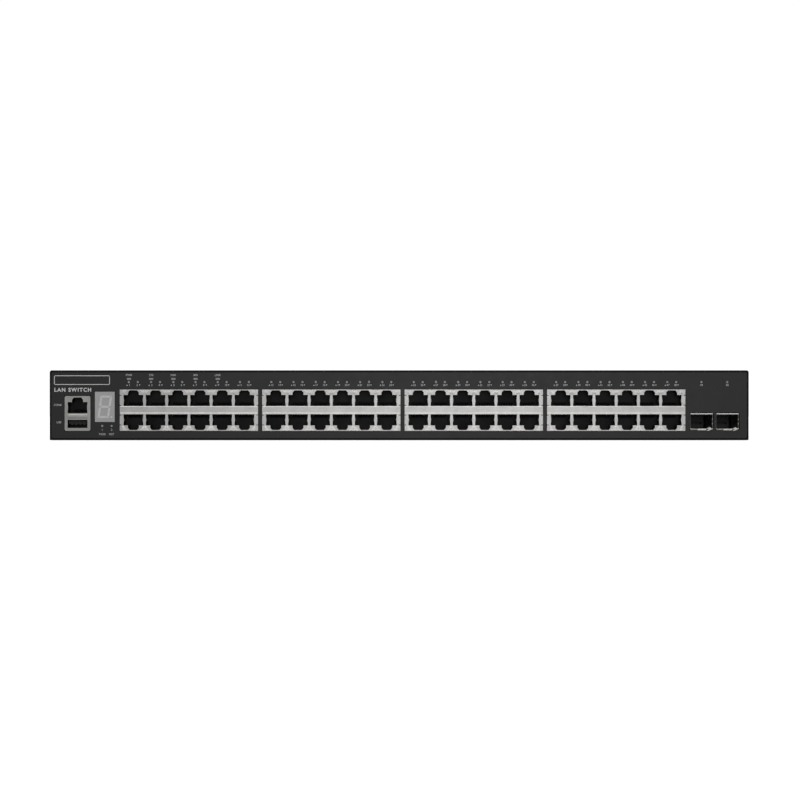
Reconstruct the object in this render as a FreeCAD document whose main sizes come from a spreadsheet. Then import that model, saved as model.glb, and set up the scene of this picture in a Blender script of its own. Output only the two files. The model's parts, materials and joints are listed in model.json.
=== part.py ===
import FreeCAD, Part
import math
import os
import re
import Sketcher

# Rackmount network switch, 1U. Millimetres, +Z up, +X to the right as seen from the front, +Y to the back.
# The origin is the centre of the underside of the chassis. Every driving dimension is in the Size sheet.

Vector = FreeCAD.Vector
Rotation = FreeCAD.Rotation
Placement = FreeCAD.Placement

DIMENSIONS = {
    # enclosure
    "width": 440,
    "height": 44,
    "depth": 330,
    "sheet": 1.0,
    "panel": 1.2,
    "film": 0.3,
    "film_inset": 1.3,
    "film_corner": 1.0,
    "edge_round": 0.8,
    "corner_round": 1.5,
    "bend": 1.2,
    "lap": 0.2,
    "tray_flange": 12,
    "rear_flange": 10,
    "return_flange": 11,
    "ear_flange": 34,
    "flange_margin": 4,
    # rack ear holes, on each side
    "ear_hole": 2.0,
    "ear_back": 18,
    "ear_spacing": 20,
    # side vents
    "vent_width": 3,
    "vent_bottom": 15,
    "vent_length": 23,
    "vent_pitch": 7,
    "vent_count": 26,
    "vent_front": -62,
    # flat-head M3 screws
    "screw_radius": 1.5,
    "screw_hole": 1.6,
    "screw_head": 2.4,
    "sink": 0.95,
    "screw_length": 6,
    "sunk_length": 4,
    "cross_reach": 3.1,
    "cross_width": 0.7,
    "cross_depth": 0.85,
    "pan_height": 1.95,
    "pan_radius": 2.76,
    "pan_side": 1.2,
    "pan_flat": 1.7,
    "side_screw_height": 6.5,
    "side_screw_pitch": 105,
    "top_screw_pitch": 195,
    "top_screw_middle": 62,
    "front_screw_pitch": 120,
    # ganged RJ45 blocks, two rows of six
    "block_first": -132.3,
    "block_pitch": 89.6,
    "block_width": 87,
    "block_bottom": 5.9,
    "block_height": 26,
    "block_depth": 29,
    "shield": 0.3,
    "shield_back": 0.1,
    "cutout_gap": 0.3,
    "port_pitch": 13.97,
    "port_width": 12.4,
    "port_rise": 2.6,
    "port_height": 7.0,
    "notch_low": 1.5,
    "notch_tall": 2.9,
    "notch_wide": 6.9,
    "notch_narrow": 4.6,
    "tab_bulge": 0.22,
    "tab_half": 0.6,
    "tab_foot": 2.4,
    "slot_half": 1.4,
    "slot_width": 0.45,
    "slot_tall": 1.0,
    "edge_slot_pitch": 6.2,
    "finger_reach": 7,
    "finger_bulge": 0.5,
    "jack_gap": 0.1,
    "jack_round": 0.15,
    "cavity": 13.5,
    # contact springs
    "contact_pitch": 1.02,
    "contact_width": 0.4,
    "contact_front": 4.3,
    "contact_rise": 2.4,
    "contact_thick": 0.3,
    "contact_lift": 0.02,
    "contact_arm": 0.9,
    "contact_tip": 1.4,
    # console jack over a USB socket
    "console_x": -202.35,
    "console_width": 16.2,
    "console_top": 27.8,
    "console_depth": 22,
    "console_floor": 17.0,
    "usb_width": 12.5,
    "usb_height": 5.12,
    "usb_floor": 7.7,
    "usb_depth": 12,
    "usb_tongue": 11.1,
    "usb_tongue_thick": 1.9,
    "usb_tongue_gap": 0.7,
    "usb_contact_pitch": 2.5,
    "usb_contact_back": 4,
    "usb_contact_width": 1.2,
    # SFP+ cages
    "cage_x": 190.1,
    "cage_pitch": 16.25,
    "cage_bottom": 6.95,
    "cage_width": 14.4,
    "cage_height": 9.9,
    "cage_depth": 48,
    "cage_wall": 0.3,
    "cage_proud": 0.6,
    "cage_gap": 0.5,
    "cage_leg": 0.8,
    "leg_first": 6.4,
    "leg_pitch": 6.85,
    "cage_relief": 1.4,
    "cage_finger": 0.4,
    "finger_root": 0.1,
    "finger_start": 1.6,
    "finger_crest": 3.9,
    "finger_end": 7.4,
    "top_finger": 3.2,
    "top_finger_pitch": 4.3,
    "low_finger_x": 5.05,
    "side_finger": 2.6,
    "side_finger_pitch": 4.4,
    "latch_half": 2.5,
    "latch_slot": 0.5,
    "latch_length": 9,
    "latch_hole": 3.2,
    "latch_hole_back": 2.4,
    "latch_drop": 0.7,
    "host_front": 37,
    "host_depth": 9,
    "host_inset": 1.1,
    "host_lift": 0.35,
    "host_height": 8.6,
    "host_slit": 3.4,
    "host_slit_width": 9.5,
    "host_slit_height": 1.4,
    "host_slit_depth": 6.3,
    # seven-segment display
    "display_x": -185.2,
    "display_width": 12.4,
    "display_bottom": 11.5,
    "display_height": 19,
    "display_depth": 8,
    "digit_height": 14.2,
    "digit_width": 7.4,
    "digit_slope": 0.14,
    "segment": 1.4,
    "segment_gap": 0.2,
    "segment_proud": 0.12,
    "point_offset": 0.55,
    "point_radius": 0.63,
    # blank nameplate
    "plate_x": -199.5,
    "plate_width": 35.4,
    "plate_bottom": 34.7,
    "plate_height": 6.2,
    "plate_thick": 0.25,
    "plate_rim": 0.5,
    # indicator lamps and their light pipes
    "lamp_spacing": 5.6,
    "lamp_height": 36.6,
    "lamp_radius": 0.65,
    "pipe": 1.3,
    "pipe_back": 32,
    "status_height": 38.6,
    "status_width": 2.6,
    "status_tall": 1.1,
    "status_back": 36,
    "uplink_back": 53,
    "module_first": -186.8,
    "module_pitch": 5.9,
    "module_height": 9,
    "module_back": 7,
    "lamp_chip": 1.0,
    "lamp_chip_length": 1.6,
    "pipe_gap": 0.2,
    "rib": 1.0,
    "rib_back": 14,
    # main board
    "board_top": 5.9,
    "board": 1.6,
    "board_width": 424,
    "board_front": -163,
    "board_depth": 195,
    "board_hole": 1.6,
    "post_front": 36,
    "post_margin": 8,
    "board_screw_length": 4.5,
    "board_head": 2.65,
    "board_head_flat": 1.9,
    "board_head_side": 0.9,
    "board_head_height": 1.5,
    "standoff": 2.75,
    "shank": 2.3,
    "shank_gap": 0.03,
    "chip": 35,
    "chip_thick": 2.4,
    "chip_y": -62,
    "phy": 14,
    "phy_thick": 1.4,
    "phy_y": -110,
    "phy_pitch": 60,
    "phy_count": 6,
    "memory_width": 11,
    "memory_length": 13,
    "memory_thick": 1.1,
    "memory_x": 55,
    "memory_pitch": 17,
    "memory_count": 4,
    "sink_size": 62,
    "sink_base": 3,
    "sink_height": 24,
    "fin": 1.2,
    "fin_pitch": 4.05,
    "fin_count": 16,
    "small_sink": 22,
    "small_base": 2,
    "small_height": 11,
    "small_fin_pitch": 3.4667,
    "small_fin_count": 7,
    "can_radius": 4,
    "can_height": 11,
    "can_x": -125,
    "can_y": 8,
    "can_pitch": 14,
    "can_count": 8,
    # expansion slot at the rear
    "slot_x": 130,
    "slot_opening": 110,
    "slot_bottom": 9,
    "slot_height": 27,
    "slot_plate": 124,
    "slot_plate_height": 32,
    "slot_screw": 117,
    "slot_socket": 60,
    "slot_socket_depth": 8,
    "slot_socket_height": 10,
    "slot_socket_margin": 24,
    "slot_socket_slit": 2,
    "slot_socket_slit_width": 54,
    "slot_socket_slit_depth": 5.6,
    # power supply
    "supply_x": -156,
    "supply_width": 106,
    "supply_front": 42,
    "supply_depth": 96,
    "supply_bottom": 7,
    "supply_foot": 6,
    "coil": 34,
    "coil_width": 24.5,
    "core_depth": 27.2,
    "core_height": 6.75,
    "coil_height": 27,
    "coil_y": 84,
    "supply_can": 10,
    "supply_can_height": 31,
    "supply_can_x": -34,
    "supply_can_front": -17,
    "supply_can_rear": 6,
    "output_can": 5,
    "output_can_height": 21.7,
    "output_can_x": 6,
    "output_can_y": 12,
    "output_can_pitch": 13,
    "supply_sink": 2.5,
    "supply_sink_height": 28,
    "supply_sink_x": 21.5,
    "supply_sink_y": 3,
    "supply_sink_depth": 54.4,
    "supply_fin": 1.25,
    "supply_fin_x": 27,
    "supply_fin_pitch": 10,
    "supply_fin_length": 10.2,
    # mains inlet
    "inlet_x": -184,
    "inlet_height": 22,
    "inlet_flange": 50,
    "inlet_flange_height": 24,
    "inlet_flange_thick": 2,
    "inlet_body": 28,
    "inlet_body_height": 20,
    "inlet_body_depth": 23,
    "inlet_mouth": 24.6,
    "inlet_mouth_height": 16.4,
    "inlet_chamfer": 4,
    "inlet_cavity": 17,
    "inlet_screw": 40,
    "pin_width": 2,
    "pin_height": 4,
    "pin_length": 14,
    "pin_spacing": 7,
    "pin_drop": 2,
    # backup power socket
    "backup_x": -122,
    "backup_height": 22,
    "backup_width": 34,
    "backup_tall": 12,
    "backup_depth": 18,
    "backup_proud": 1.5,
    "backup_wall": 1.5,
    "backup_cavity": 10,
    "backup_pin": 1.2,
    "backup_pin_pitch": 4.2,
    "backup_pin_count": 7,
    # earth screw
    "earth_x": -150,
    "earth_z": 12,
    "earth_radius": 2.0,
    "earth_gap": 0.1,
    "earth_length": 5,
    "washer_radius": 4.8,
    "washer": 0.6,
    "washer_land": 3.6,
    "earth_head": 2.4,
    "earth_head_flat": 2.8,
    "earth_head_height": 3,
    "earth_slot": 0.7,
    "earth_slot_length": 4,
    "earth_slot_depth": 1.2,
    # fans
    "fan_first": -66,
    "fan_pitch": 46,
    "fan_size": 40,
    "fan_depth": 20,
    "fan_bore": 18.8,
    "fan_height": 22,
    "fan_hole": 1.7,
    "fan_hole_pitch": 32,
    "guard": 1.0,
    "guard_ring": 0.6,
    "guard_centre": 3,
    "guard_first": 6.5,
    "guard_step": 4,
    "guard_rings": 3,
    "hub": 8,
    "hub_wall": 0.8,
    "hub_back": 2,
    "hub_edge": 1,
    "hub_end": 1.2,
    "hub_length": 15,
    "shaft_reach": 1.5,
    "overlap": 0.5,
    "blade_root": 7.4,
    "blade_tip": 17.1,
    "blade_thick": 0.9,
    "blade_root_half": 3.4,
    "blade_tip_half": 5.2,
    "blade_axial": 5.6,
    "blade_belly": 0.67,
    "shaft": 1.0,
    "shaft_slack": 0.05,
    "bearing": 3.0,
    "stator": 6.4,
    "spoke": 2.2,
    "spoke_thick": 2.5,
    "fan_floor": 3,
    # cables
    "wire": 0.9,
    "wire_bend": 6,
    "wire_spread": 2.15,
    "harness_x": 10,
    "harness_start": 3,
    "harness_rise": 14,
    "harness_end": 25,
    "lead_x": 12,
    "lead_drop": 16.8,
    "lead_level": 4,
    "lead_low_run": 40,
    "lead_high_run": 70,
    "lead_end": 12,
}

BLOCKS = 4
PORTS = 6
FANS = 3
CAGES = 2
STATUS_LAMPS = 5
CONTACTS = 8
USB_CONTACTS = 4
LEGS = 6
BLADES = 7
SPOKES = 3
OUTPUT_CANS = 3
WIRES = 4
SINK_CLEARANCE = 0.05
SIDE_STEPS = (-1, 0, 1)
FRONT_SCREW_STEPS = (-1.5, -0.5, 0.5, 1.5)
EDGE_SLOT_STEPS = (-3, -1, 1, 3)
FRONT_POSTS = (-205, -87, 2.5, 92, 172)
REAR_POSTS = (-205, -87, 2.5, 92, 205)

doc = FreeCAD.newDocument("network_switch")
size = doc.addObject("Spreadsheet::Sheet", "Size")
for row, (alias, number) in enumerate(DIMENSIONS.items(), 1):
    size.set(f"A{row}", alias)
    size.set(f"B{row}", str(number))
    size.setAlias(f"B{row}", alias)
doc.recompute()

# Planes that many pieces share, as expressions on the sheet
FRONT = "(-depth / 2)"
FACE = "(film - depth / 2)"
PANEL_BACK = "(film + panel - depth / 2)"
REAR = "(depth / 2)"
REAR_INSIDE = "(depth / 2 - sheet)"
SHIELD_FACE = "(shield_back - depth / 2)"
BLOCK_MIDDLE = "(block_bottom + block_height / 2)"
CAGE_MOUTH = "(-depth / 2 - cage_proud)"
SUPPLY_TOP = "(supply_bottom + board)"
PHY_FIRST = "(-(phy_count - 1) / 2 * phy_pitch)"
TOP_SCREWS = ("-top_screw_pitch", "top_screw_middle", "top_screw_pitch")

NODES = []


def bound(text):
    """The expression with each name pointed at the Size sheet."""
    return re.sub(r"[a-z][a-z_]*", lambda name: "Size." + name.group(), str(text))


def value(text):
    """The number that an expression on the sheet gives."""
    return float(size.evalExpression(bound(text)))


def new_body(label, x="0", y="0", z="0", listed=True):
    """A PartDesign body whose place is bound to the sheet."""
    body = doc.addObject("PartDesign::Body", label)
    body.Label = label
    for axis, text in zip("xyz", (x, y, z)):
        if text != "0":
            body.setExpression(f"Placement.Base.{axis}", bound(text))
    if listed:
        NODES.append(body)
    return body


def origin(body, role):
    return next(feature for feature in body.Origin.OriginFeatures if feature.Role == role)


def sketch(body, plane, at="0"):
    """A sketch on an origin plane of the body, moved to `at` along the axis that the plane lacks.
    XY: X, Y. XZ: X, Z. YZ: Y, Z."""
    drawn = body.newObject("Sketcher::SketchObject", "Sketch")
    drawn.AttachmentSupport = (origin(body, plane + "_Plane"), [""])
    drawn.MapMode = "FlatFace"
    sign = "-" if plane == "XZ" else ""
    drawn.setExpression("AttachmentOffset.Base.z", bound(f"{sign}({at})"))
    return drawn


def outline(drawn, points):
    """A closed polygon whose corners are bound to the sheet."""
    spots = [(value(x), value(y)) for x, y in points]
    first = drawn.GeometryCount
    for number, spot in enumerate(spots):
        following = spots[(number + 1) % len(spots)]
        drawn.addGeometry(Part.LineSegment(Vector(*spot, 0), Vector(*following, 0)), False)
    for number in range(len(spots)):
        following = first + (number + 1) % len(spots)
        drawn.addConstraint(Sketcher.Constraint("Coincident", first + number, 2, following, 1))
    for number, texts in enumerate(points):
        for kind, text, spot in zip(("DistanceX", "DistanceY"), texts, spots[number]):
            index = drawn.addConstraint(Sketcher.Constraint(kind, -1, 1, first + number, 1, spot))
            drawn.setExpression(f"Constraints[{index}]", bound(text))


def rectangle(drawn, left, right, low, high):
    outline(drawn, [(left, low), (right, low), (right, high), (left, high)])


def centred(drawn, x, y, wide, tall):
    rectangle(
        drawn,
        f"({x}) - ({wide}) / 2",
        f"({x}) + ({wide}) / 2",
        f"({y}) - ({tall}) / 2",
        f"({y}) + ({tall}) / 2",
    )


def circle(drawn, x, y, radius):
    spot = Vector(value(x), value(y), 0)
    index = drawn.addGeometry(Part.Circle(spot, Vector(0, 0, 1), value(radius)), False)
    for kind, text, number in (("DistanceX", x, spot.x), ("DistanceY", y, spot.y)):
        rule = drawn.addConstraint(Sketcher.Constraint(kind, -1, 1, index, 3, number))
        drawn.setExpression(f"Constraints[{rule}]", bound(text))
    rule = drawn.addConstraint(Sketcher.Constraint("Radius", index, value(radius)))
    drawn.setExpression(f"Constraints[{rule}]", bound(radius))


def pad(body, drawn, length, back=False):
    """Adds material from the sketch plane. XZ sketches grow to the front, or with back=True to +Y."""
    made = body.newObject("PartDesign::Pad", "Pad")
    made.Profile = drawn
    made.setExpression("Length", bound(length))
    made.Reversed = back
    doc.recompute()
    return made


def slab(body, drawn, length):
    """Adds material on both sides of the sketch plane."""
    made = body.newObject("PartDesign::Pad", "Slab")
    made.Profile = drawn
    made.setExpression("Length", bound(length))
    made.Midplane = True
    doc.recompute()
    return made


def pocket(body, drawn, length, back=False, both=False):
    """Removes material from the sketch plane: XZ sketches cut to +Y, XY down and YZ to -X,
    or the other way with back=True. A pocket that cuts nothing is an error."""
    before = body.Shape.Volume
    made = body.newObject("PartDesign::Pocket", "Pocket")
    made.Profile = drawn
    made.setExpression("Length", bound(length))
    made.Reversed = back
    made.Midplane = both
    doc.recompute()
    if body.Shape.Volume > before - 1e-6:
        raise ValueError(f"a pocket of {body.Label} cuts nothing")
    return made


def revolution(body, drawn, axis):
    made = body.newObject("PartDesign::Revolution", "Revolution")
    made.Profile = drawn
    made.ReferenceAxis = (origin(body, axis + "_Axis"), [""])
    made.Angle = 360
    doc.recompute()
    return made


def linear(body, axis, pitch, count):
    """A linear pattern to hand to repeat()."""
    made = body.newObject("PartDesign::LinearPattern", "Row")
    made.Direction = (origin(body, axis + "_Axis"), [""])
    made.Mode = 1
    made.setExpression("Offset", bound(pitch))
    made.Occurrences = int(count)
    return made


def repeat(body, features, *rows):
    """Repeats features along each (axis, pitch, count) in turn."""
    made = body.newObject("PartDesign::MultiTransform", "Repeat")
    made.Originals = list(features)
    doc.recompute()
    made.Transformations = [linear(body, *row) for row in rows]
    body.Tip = made
    doc.recompute()
    return made


def around(body, features, axis, count):
    """Repeats features evenly around an axis."""
    made = body.newObject("PartDesign::PolarPattern", "Ring")
    made.Originals = list(features)
    made.Axis = (origin(body, axis + "_Axis"), [""])
    made.Angle = 360
    made.Occurrences = count
    body.Tip = made
    doc.recompute()
    return made


def edges(body, wanted):
    """Names of the body's edges for which wanted(edge) is true."""
    return [f"Edge{n}" for n, edge in enumerate(body.Tip.Shape.Edges, 1) if wanted(edge)]


def dress(body, kind, length, wanted):
    """A fillet or chamfer of the edges for which wanted(edge) is true."""
    base = body.Tip
    names = edges(body, wanted)
    if not names:
        raise ValueError(f"{body.Label} has no edge to dress")
    made = body.newObject("PartDesign::" + kind, kind)
    made.Base = (base, names)
    made.setExpression("Radius" if kind == "Fillet" else "Size", bound(length))
    doc.recompute()
    return made


def along(edge, axis):
    """True for a straight edge along X, Y or Z."""
    box = edge.BoundBox
    spans = {"X": box.XLength, "Y": box.YLength, "Z": box.ZLength}
    return edge.Curve.TypeId == "Part::GeomLine" and all(
        spans[a] < 1e-6 for a in "XYZ" if a != axis
    )


def round_at(edge, radius, axis, at):
    """True for a circular edge of that radius in the plane at `at` along an axis."""
    if edge.Curve.TypeId != "Part::GeomCircle":
        return False
    centre = edge.Curve.Center
    level = {"X": centre.x, "Y": centre.y, "Z": centre.z}[axis]
    return abs(edge.Curve.Radius - radius) < 1e-4 and abs(level - at) < 1e-4


def scatter(label, template, places):
    """A node of separate solids: one copy of the template body's shape at each placement."""
    node = doc.addObject("Part::Feature", label)
    node.Label = label
    copies = []
    for place in places:
        copy = template.Shape.copy()
        copy.Placement = place.multiply(template.Shape.Placement)
        copies.append(copy)
    node.Shape = Part.makeCompound(copies)
    NODES.append(node)
    return node


def at(x, y, z, axis=None, angle=0):
    turn = Rotation(axis, angle) if axis else Rotation()
    return Placement(Vector(value(x), value(y), value(z)), turn)


# ---------------------------------------------------------------- RJ45 openings and contacts


def port_outline(drawn, x, floor, flip=False, slack="0", waisted=False):
    """The opening of one jack: a box for the plug, narrowing in two steps to the latch channel.
    The latch points up, or down with flip=True. With waisted=True the sides bulge in where the
    grounding springs are."""
    up = "-" if flip else "+"
    half = f"(port_width / 2 + {slack})"
    middle = "(port_height / 2)"
    waist = [
        (half, f"({middle} - tab_foot)"),
        (f"({half} - tab_bulge)", f"({middle} - tab_half)"),
        (f"({half} - tab_bulge)", f"({middle} + tab_half)"),
        (half, f"({middle} + tab_foot)"),
    ]
    right = [(half, f"(-{slack})")] + (waist if waisted else [])
    right += [
        (half, "port_height"),
        (f"(notch_wide / 2 + {slack})", "port_height"),
        (f"(notch_wide / 2 + {slack})", "(port_height + notch_low)"),
        (f"(notch_narrow / 2 + {slack})", "(port_height + notch_tall)"),
    ]
    points = [(f"({x}) + {wide}", f"({floor}) {up} {tall}") for wide, tall in right]
    points += [(f"({x}) - {wide}", f"({floor}) {up} {tall}") for wide, tall in reversed(right)]
    outline(drawn, points)


def contact_outline(drawn, face, floor, flip=False):
    """The side view of one contact spring: a foot along the jack's floor and an arm that leans back."""
    up = "-" if flip else "+"
    back = "(cavity - jack_gap)"
    spots = [
        (back, "contact_lift"),
        ("contact_front", "contact_lift"),
        ("(contact_front - contact_thick)", "(contact_thick + 2 * contact_lift)"),
        ("(cavity - contact_tip)", "contact_rise"),
        ("(cavity - contact_tip + jack_gap)", "(contact_rise - contact_thick)"),
        ("(contact_front + contact_arm)", "(contact_thick + contact_lift)"),
        (back, "(contact_thick + contact_lift)"),
    ]
    outline(drawn, [(f"{face} + shield + {y}", f"({floor}) {up} {z}") for y, z in spots])


# ---------------------------------------------------------------- enclosure


def cross_recess(body, level):
    """A cross in the screw's head, cut down from the level."""
    for wide, tall in (("cross_reach", "cross_width"), ("cross_width", "cross_reach")):
        drawn = sketch(body, "XY", level)
        centred(drawn, "0", "0", wide, tall)
        pocket(body, drawn, "cross_depth")


def make_screws():
    """Templates for a flat-head screw and a pan-head screw, both along -Z with the head at the top."""
    flat = new_body("flat_screw", listed=False)
    drawn = sketch(flat, "XZ")
    outline(
        drawn,
        [
            ("0", "0"),
            ("screw_head", "0"),
            ("screw_radius", "-(screw_head - screw_radius)"),
            ("screw_radius", "-sunk_length"),
            ("0", "-sunk_length"),
        ],
    )
    revolution(flat, drawn, "Z")
    cross_recess(flat, "0")

    pan = new_body("pan_screw", listed=False)
    drawn = sketch(pan, "XZ")
    outline(
        drawn,
        [
            ("0", "pan_height"),
            ("pan_flat", "pan_height"),
            ("pan_radius", "pan_side"),
            ("pan_radius", "0"),
            ("screw_radius", "0"),
            ("screw_radius", "-screw_length"),
            ("0", "-screw_length"),
        ],
    )
    revolution(pan, drawn, "Z")
    cross_recess(pan, "pan_height")
    return flat, pan


def side_screw_places():
    """Flat-head screws in each side of the cover, near its lower edge."""
    places = []
    for sign, turn in ((1, 90), (-1, -90)):
        for step in SIDE_STEPS:
            places.append(
                at(
                    f"{sign} * (width / 2 - {SINK_CLEARANCE})",
                    f"{step} * side_screw_pitch + rear_flange",
                    "side_screw_height",
                    Vector(0, 1, 0),
                    turn,
                )
            )
    return places


def top_screw_places():
    """Flat-head screws in the cover's rear edge."""
    return [
        at(x, f"{REAR_INSIDE} - rear_flange / 2", f"height - {SINK_CLEARANCE}") for x in TOP_SCREWS
    ]


def make_chassis():
    """The folded steel tray: floor, low side flanges and the rear wall with its cut-outs."""
    body = new_body("chassis_base")
    inner = "(width / 2 - sheet)"
    drawn = sketch(body, "XZ", PANEL_BACK)
    outline(
        drawn,
        [
            (f"-{inner}", "0"),
            (inner, "0"),
            (inner, "tray_flange"),
            (f"{inner} - sheet", "tray_flange"),
            (f"{inner} - sheet", "sheet"),
            (f"sheet - {inner}", "sheet"),
            (f"sheet - {inner}", "tray_flange"),
            (f"-{inner}", "tray_flange"),
        ],
    )
    pad(body, drawn, f"{REAR} - {PANEL_BACK}", back=True)
    # the side flanges stop behind the front panel's own side flanges
    for sign in ("", "-"):
        drawn = sketch(body, "YZ", f"{sign}{inner}")
        rectangle(drawn, PANEL_BACK, f"{PANEL_BACK} + ear_flange + lap", "sheet", "tray_flange")
        pocket(body, drawn, "sheet", back=sign == "-")
    drawn = sketch(body, "XZ", REAR_INSIDE)
    rectangle(drawn, f"-{inner}", inner, "0", "height - sheet")
    pad(body, drawn, "sheet", back=True)
    drawn = sketch(body, "XZ", REAR_INSIDE)
    rectangle(
        drawn,
        f"flange_margin - {inner}",
        f"{inner} - flange_margin",
        "height - 2 * sheet",
        "height - sheet",
    )
    pad(body, drawn, "rear_flange")
    # openings of the rear wall
    drawn = sketch(body, "XZ", REAR)
    centred(drawn, "inlet_x", "inlet_height", "inlet_body + lap", "inlet_body_height + lap")
    centred(drawn, "backup_x", "backup_height", "backup_width + lap", "backup_tall + lap")
    centred(drawn, "slot_x", "slot_bottom + slot_height / 2", "slot_opening", "slot_height")
    for sign in (-1, 1):
        circle(drawn, f"inlet_x + {sign} * inlet_screw / 2", "inlet_height", "screw_hole")
        circle(
            drawn,
            f"slot_x + {sign} * slot_screw / 2",
            "slot_bottom + slot_height / 2",
            "screw_hole",
        )
    circle(drawn, "earth_x", "earth_z", "earth_radius + earth_gap")
    for number in range(FANS):
        middle = f"fan_first + {number} * fan_pitch"
        circle(drawn, middle, "fan_height", "fan_bore")
        for across in (-1, 1):
            for rise in (-1, 1):
                circle(
                    drawn,
                    f"{middle} + {across} * fan_hole_pitch / 2",
                    f"fan_height + {rise} * fan_hole_pitch / 2",
                    "screw_hole",
                )
    pocket(body, drawn, "2 * sheet", both=True)
    # tapped holes for the side, top and front panel screws
    drawn = sketch(body, "YZ")
    for step in SIDE_STEPS:
        circle(drawn, f"{step} * side_screw_pitch + rear_flange", "side_screw_height", "screw_hole")
    pocket(body, drawn, "width", both=True)
    drawn = sketch(body, "XY", "height - sheet")
    for x in TOP_SCREWS:
        circle(drawn, x, f"{REAR_INSIDE} - rear_flange / 2", "screw_hole")
    pocket(body, drawn, "sheet")
    drawn = sketch(body, "XY")
    for step in FRONT_SCREW_STEPS:
        circle(drawn, f"{step} * front_screw_pitch", f"{PANEL_BACK} + return_flange / 2", "screw_hole")
    pocket(body, drawn, "sheet", back=True)
    dress(body, "Chamfer", "sink", lambda e: round_at(e, value("screw_hole"), "Z", 0))
    drawn = sketch(body, "XY")
    for x, y in board_posts():
        circle(drawn, x, y, "shank + shank_gap")
    pocket(body, drawn, "sheet", back=True)

    def bottom_edge(edge):
        low = abs(edge.BoundBox.ZMax) < 1e-6
        return along(edge, "Y") and low and abs(edge.BoundBox.XMax) > value(inner) - 1e-3

    dress(body, "Fillet", "bend / 2", bottom_edge)
    return body


def block_cutout(drawn):
    """The opening in the panel and its film for the first port block."""
    centred(
        drawn,
        "block_first",
        BLOCK_MIDDLE,
        "block_width + 2 * cutout_gap",
        "block_height + 2 * cutout_gap",
    )


def socket_cutouts(drawn):
    """The openings in the panel and its film for the console sockets, the display and the cages."""
    centred(
        drawn,
        "console_x",
        "(block_bottom + console_top) / 2",
        "console_width + 2 * cutout_gap",
        "console_top - block_bottom + 2 * cutout_gap",
    )
    centred(
        drawn,
        "display_x",
        "display_bottom + display_height / 2",
        "display_width + cutout_gap",
        "display_height + cutout_gap",
    )
    for number in range(CAGES):
        centred(
            drawn,
            f"cage_x + {number} * cage_pitch",
            "cage_bottom + cage_height / 2",
            "cage_width + 2 * cage_gap",
            "cage_height + 2 * cage_gap",
        )


def ear_holes(body):
    """The rack ear holes through both sides."""
    drawn = sketch(body, "YZ")
    for step in (-1, 1):
        for rise in (-1, 1):
            circle(
                drawn,
                f"ear_back - depth / 2 + {step} * ear_spacing / 2",
                f"height / 2 + {rise} * ear_spacing / 2",
                "ear_hole",
            )
    pocket(body, drawn, "width", both=True)


def make_front_panel():
    """The steel front panel: a face with rounded edges, return flanges and the cut-outs for the ports."""
    body = new_body("front_panel")
    drawn = sketch(body, "XZ", FACE)
    rectangle(drawn, "-width / 2", "width / 2", "0", "height")
    pad(body, drawn, "panel", back=True)
    dress(body, "Fillet", "corner_round", lambda e: along(e, "Y"))
    dress(
        body,
        "Fillet",
        "edge_round",
        lambda e: e.BoundBox.YMax < value(FACE) + 1e-4,
    )
    inner = "(width / 2 - sheet)"
    for low, high in (("sheet", "2 * sheet"), ("height - 2 * sheet - lap", "height - sheet - lap")):
        drawn = sketch(body, "XZ", PANEL_BACK)
        rectangle(drawn, f"flange_margin - {inner}", f"{inner} - flange_margin", low, high)
        pad(body, drawn, "return_flange", back=True)
    for side in ("-", ""):
        drawn = sketch(body, "YZ", f"{side}({inner} - sheet / 2)")
        rectangle(
            drawn,
            f"{PANEL_BACK} - panel / 2",
            f"{PANEL_BACK} + ear_flange",
            "2 * sheet + lap",
            "height - 2 * sheet - 2 * lap",
        )
        slab(body, drawn, "sheet")
    # one opening for each port block, and a slit above it for the light pipes
    drawn = sketch(body, "XZ", FACE)
    block_cutout(drawn)
    centred(drawn, "block_first", "lamp_height", f"{PORTS} * port_pitch - port_pitch / 2", "pipe + 2 * lap")
    cut = pocket(body, drawn, "2 * panel")
    repeat(body, [cut], ("X", "block_pitch", BLOCKS))
    drawn = sketch(body, "XZ", FACE)
    socket_cutouts(drawn)
    for number in range(CAGES):
        centred(drawn, f"cage_x + {number} * cage_pitch", "lamp_height", "pipe + 2 * lap", "pipe + 2 * lap")
        circle(drawn, f"module_first + {number} * module_pitch", "module_height", "lamp_radius + 2 * lap")
    for number in range(STATUS_LAMPS):
        centred(
            drawn,
            f"block_first + ({number} - ({PORTS} - 1) / 2) * port_pitch - lamp_spacing / 2",
            "status_height",
            "status_width + lap",
            "status_tall + lap",
        )
    pocket(body, drawn, "2 * panel")
    ear_holes(body)
    drawn = sketch(body, "XY", "2 * sheet")
    for step in FRONT_SCREW_STEPS:
        circle(drawn, f"{step} * front_screw_pitch", f"{PANEL_BACK} + return_flange / 2", "screw_hole")
    pocket(body, drawn, "sheet")
    return body


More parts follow.
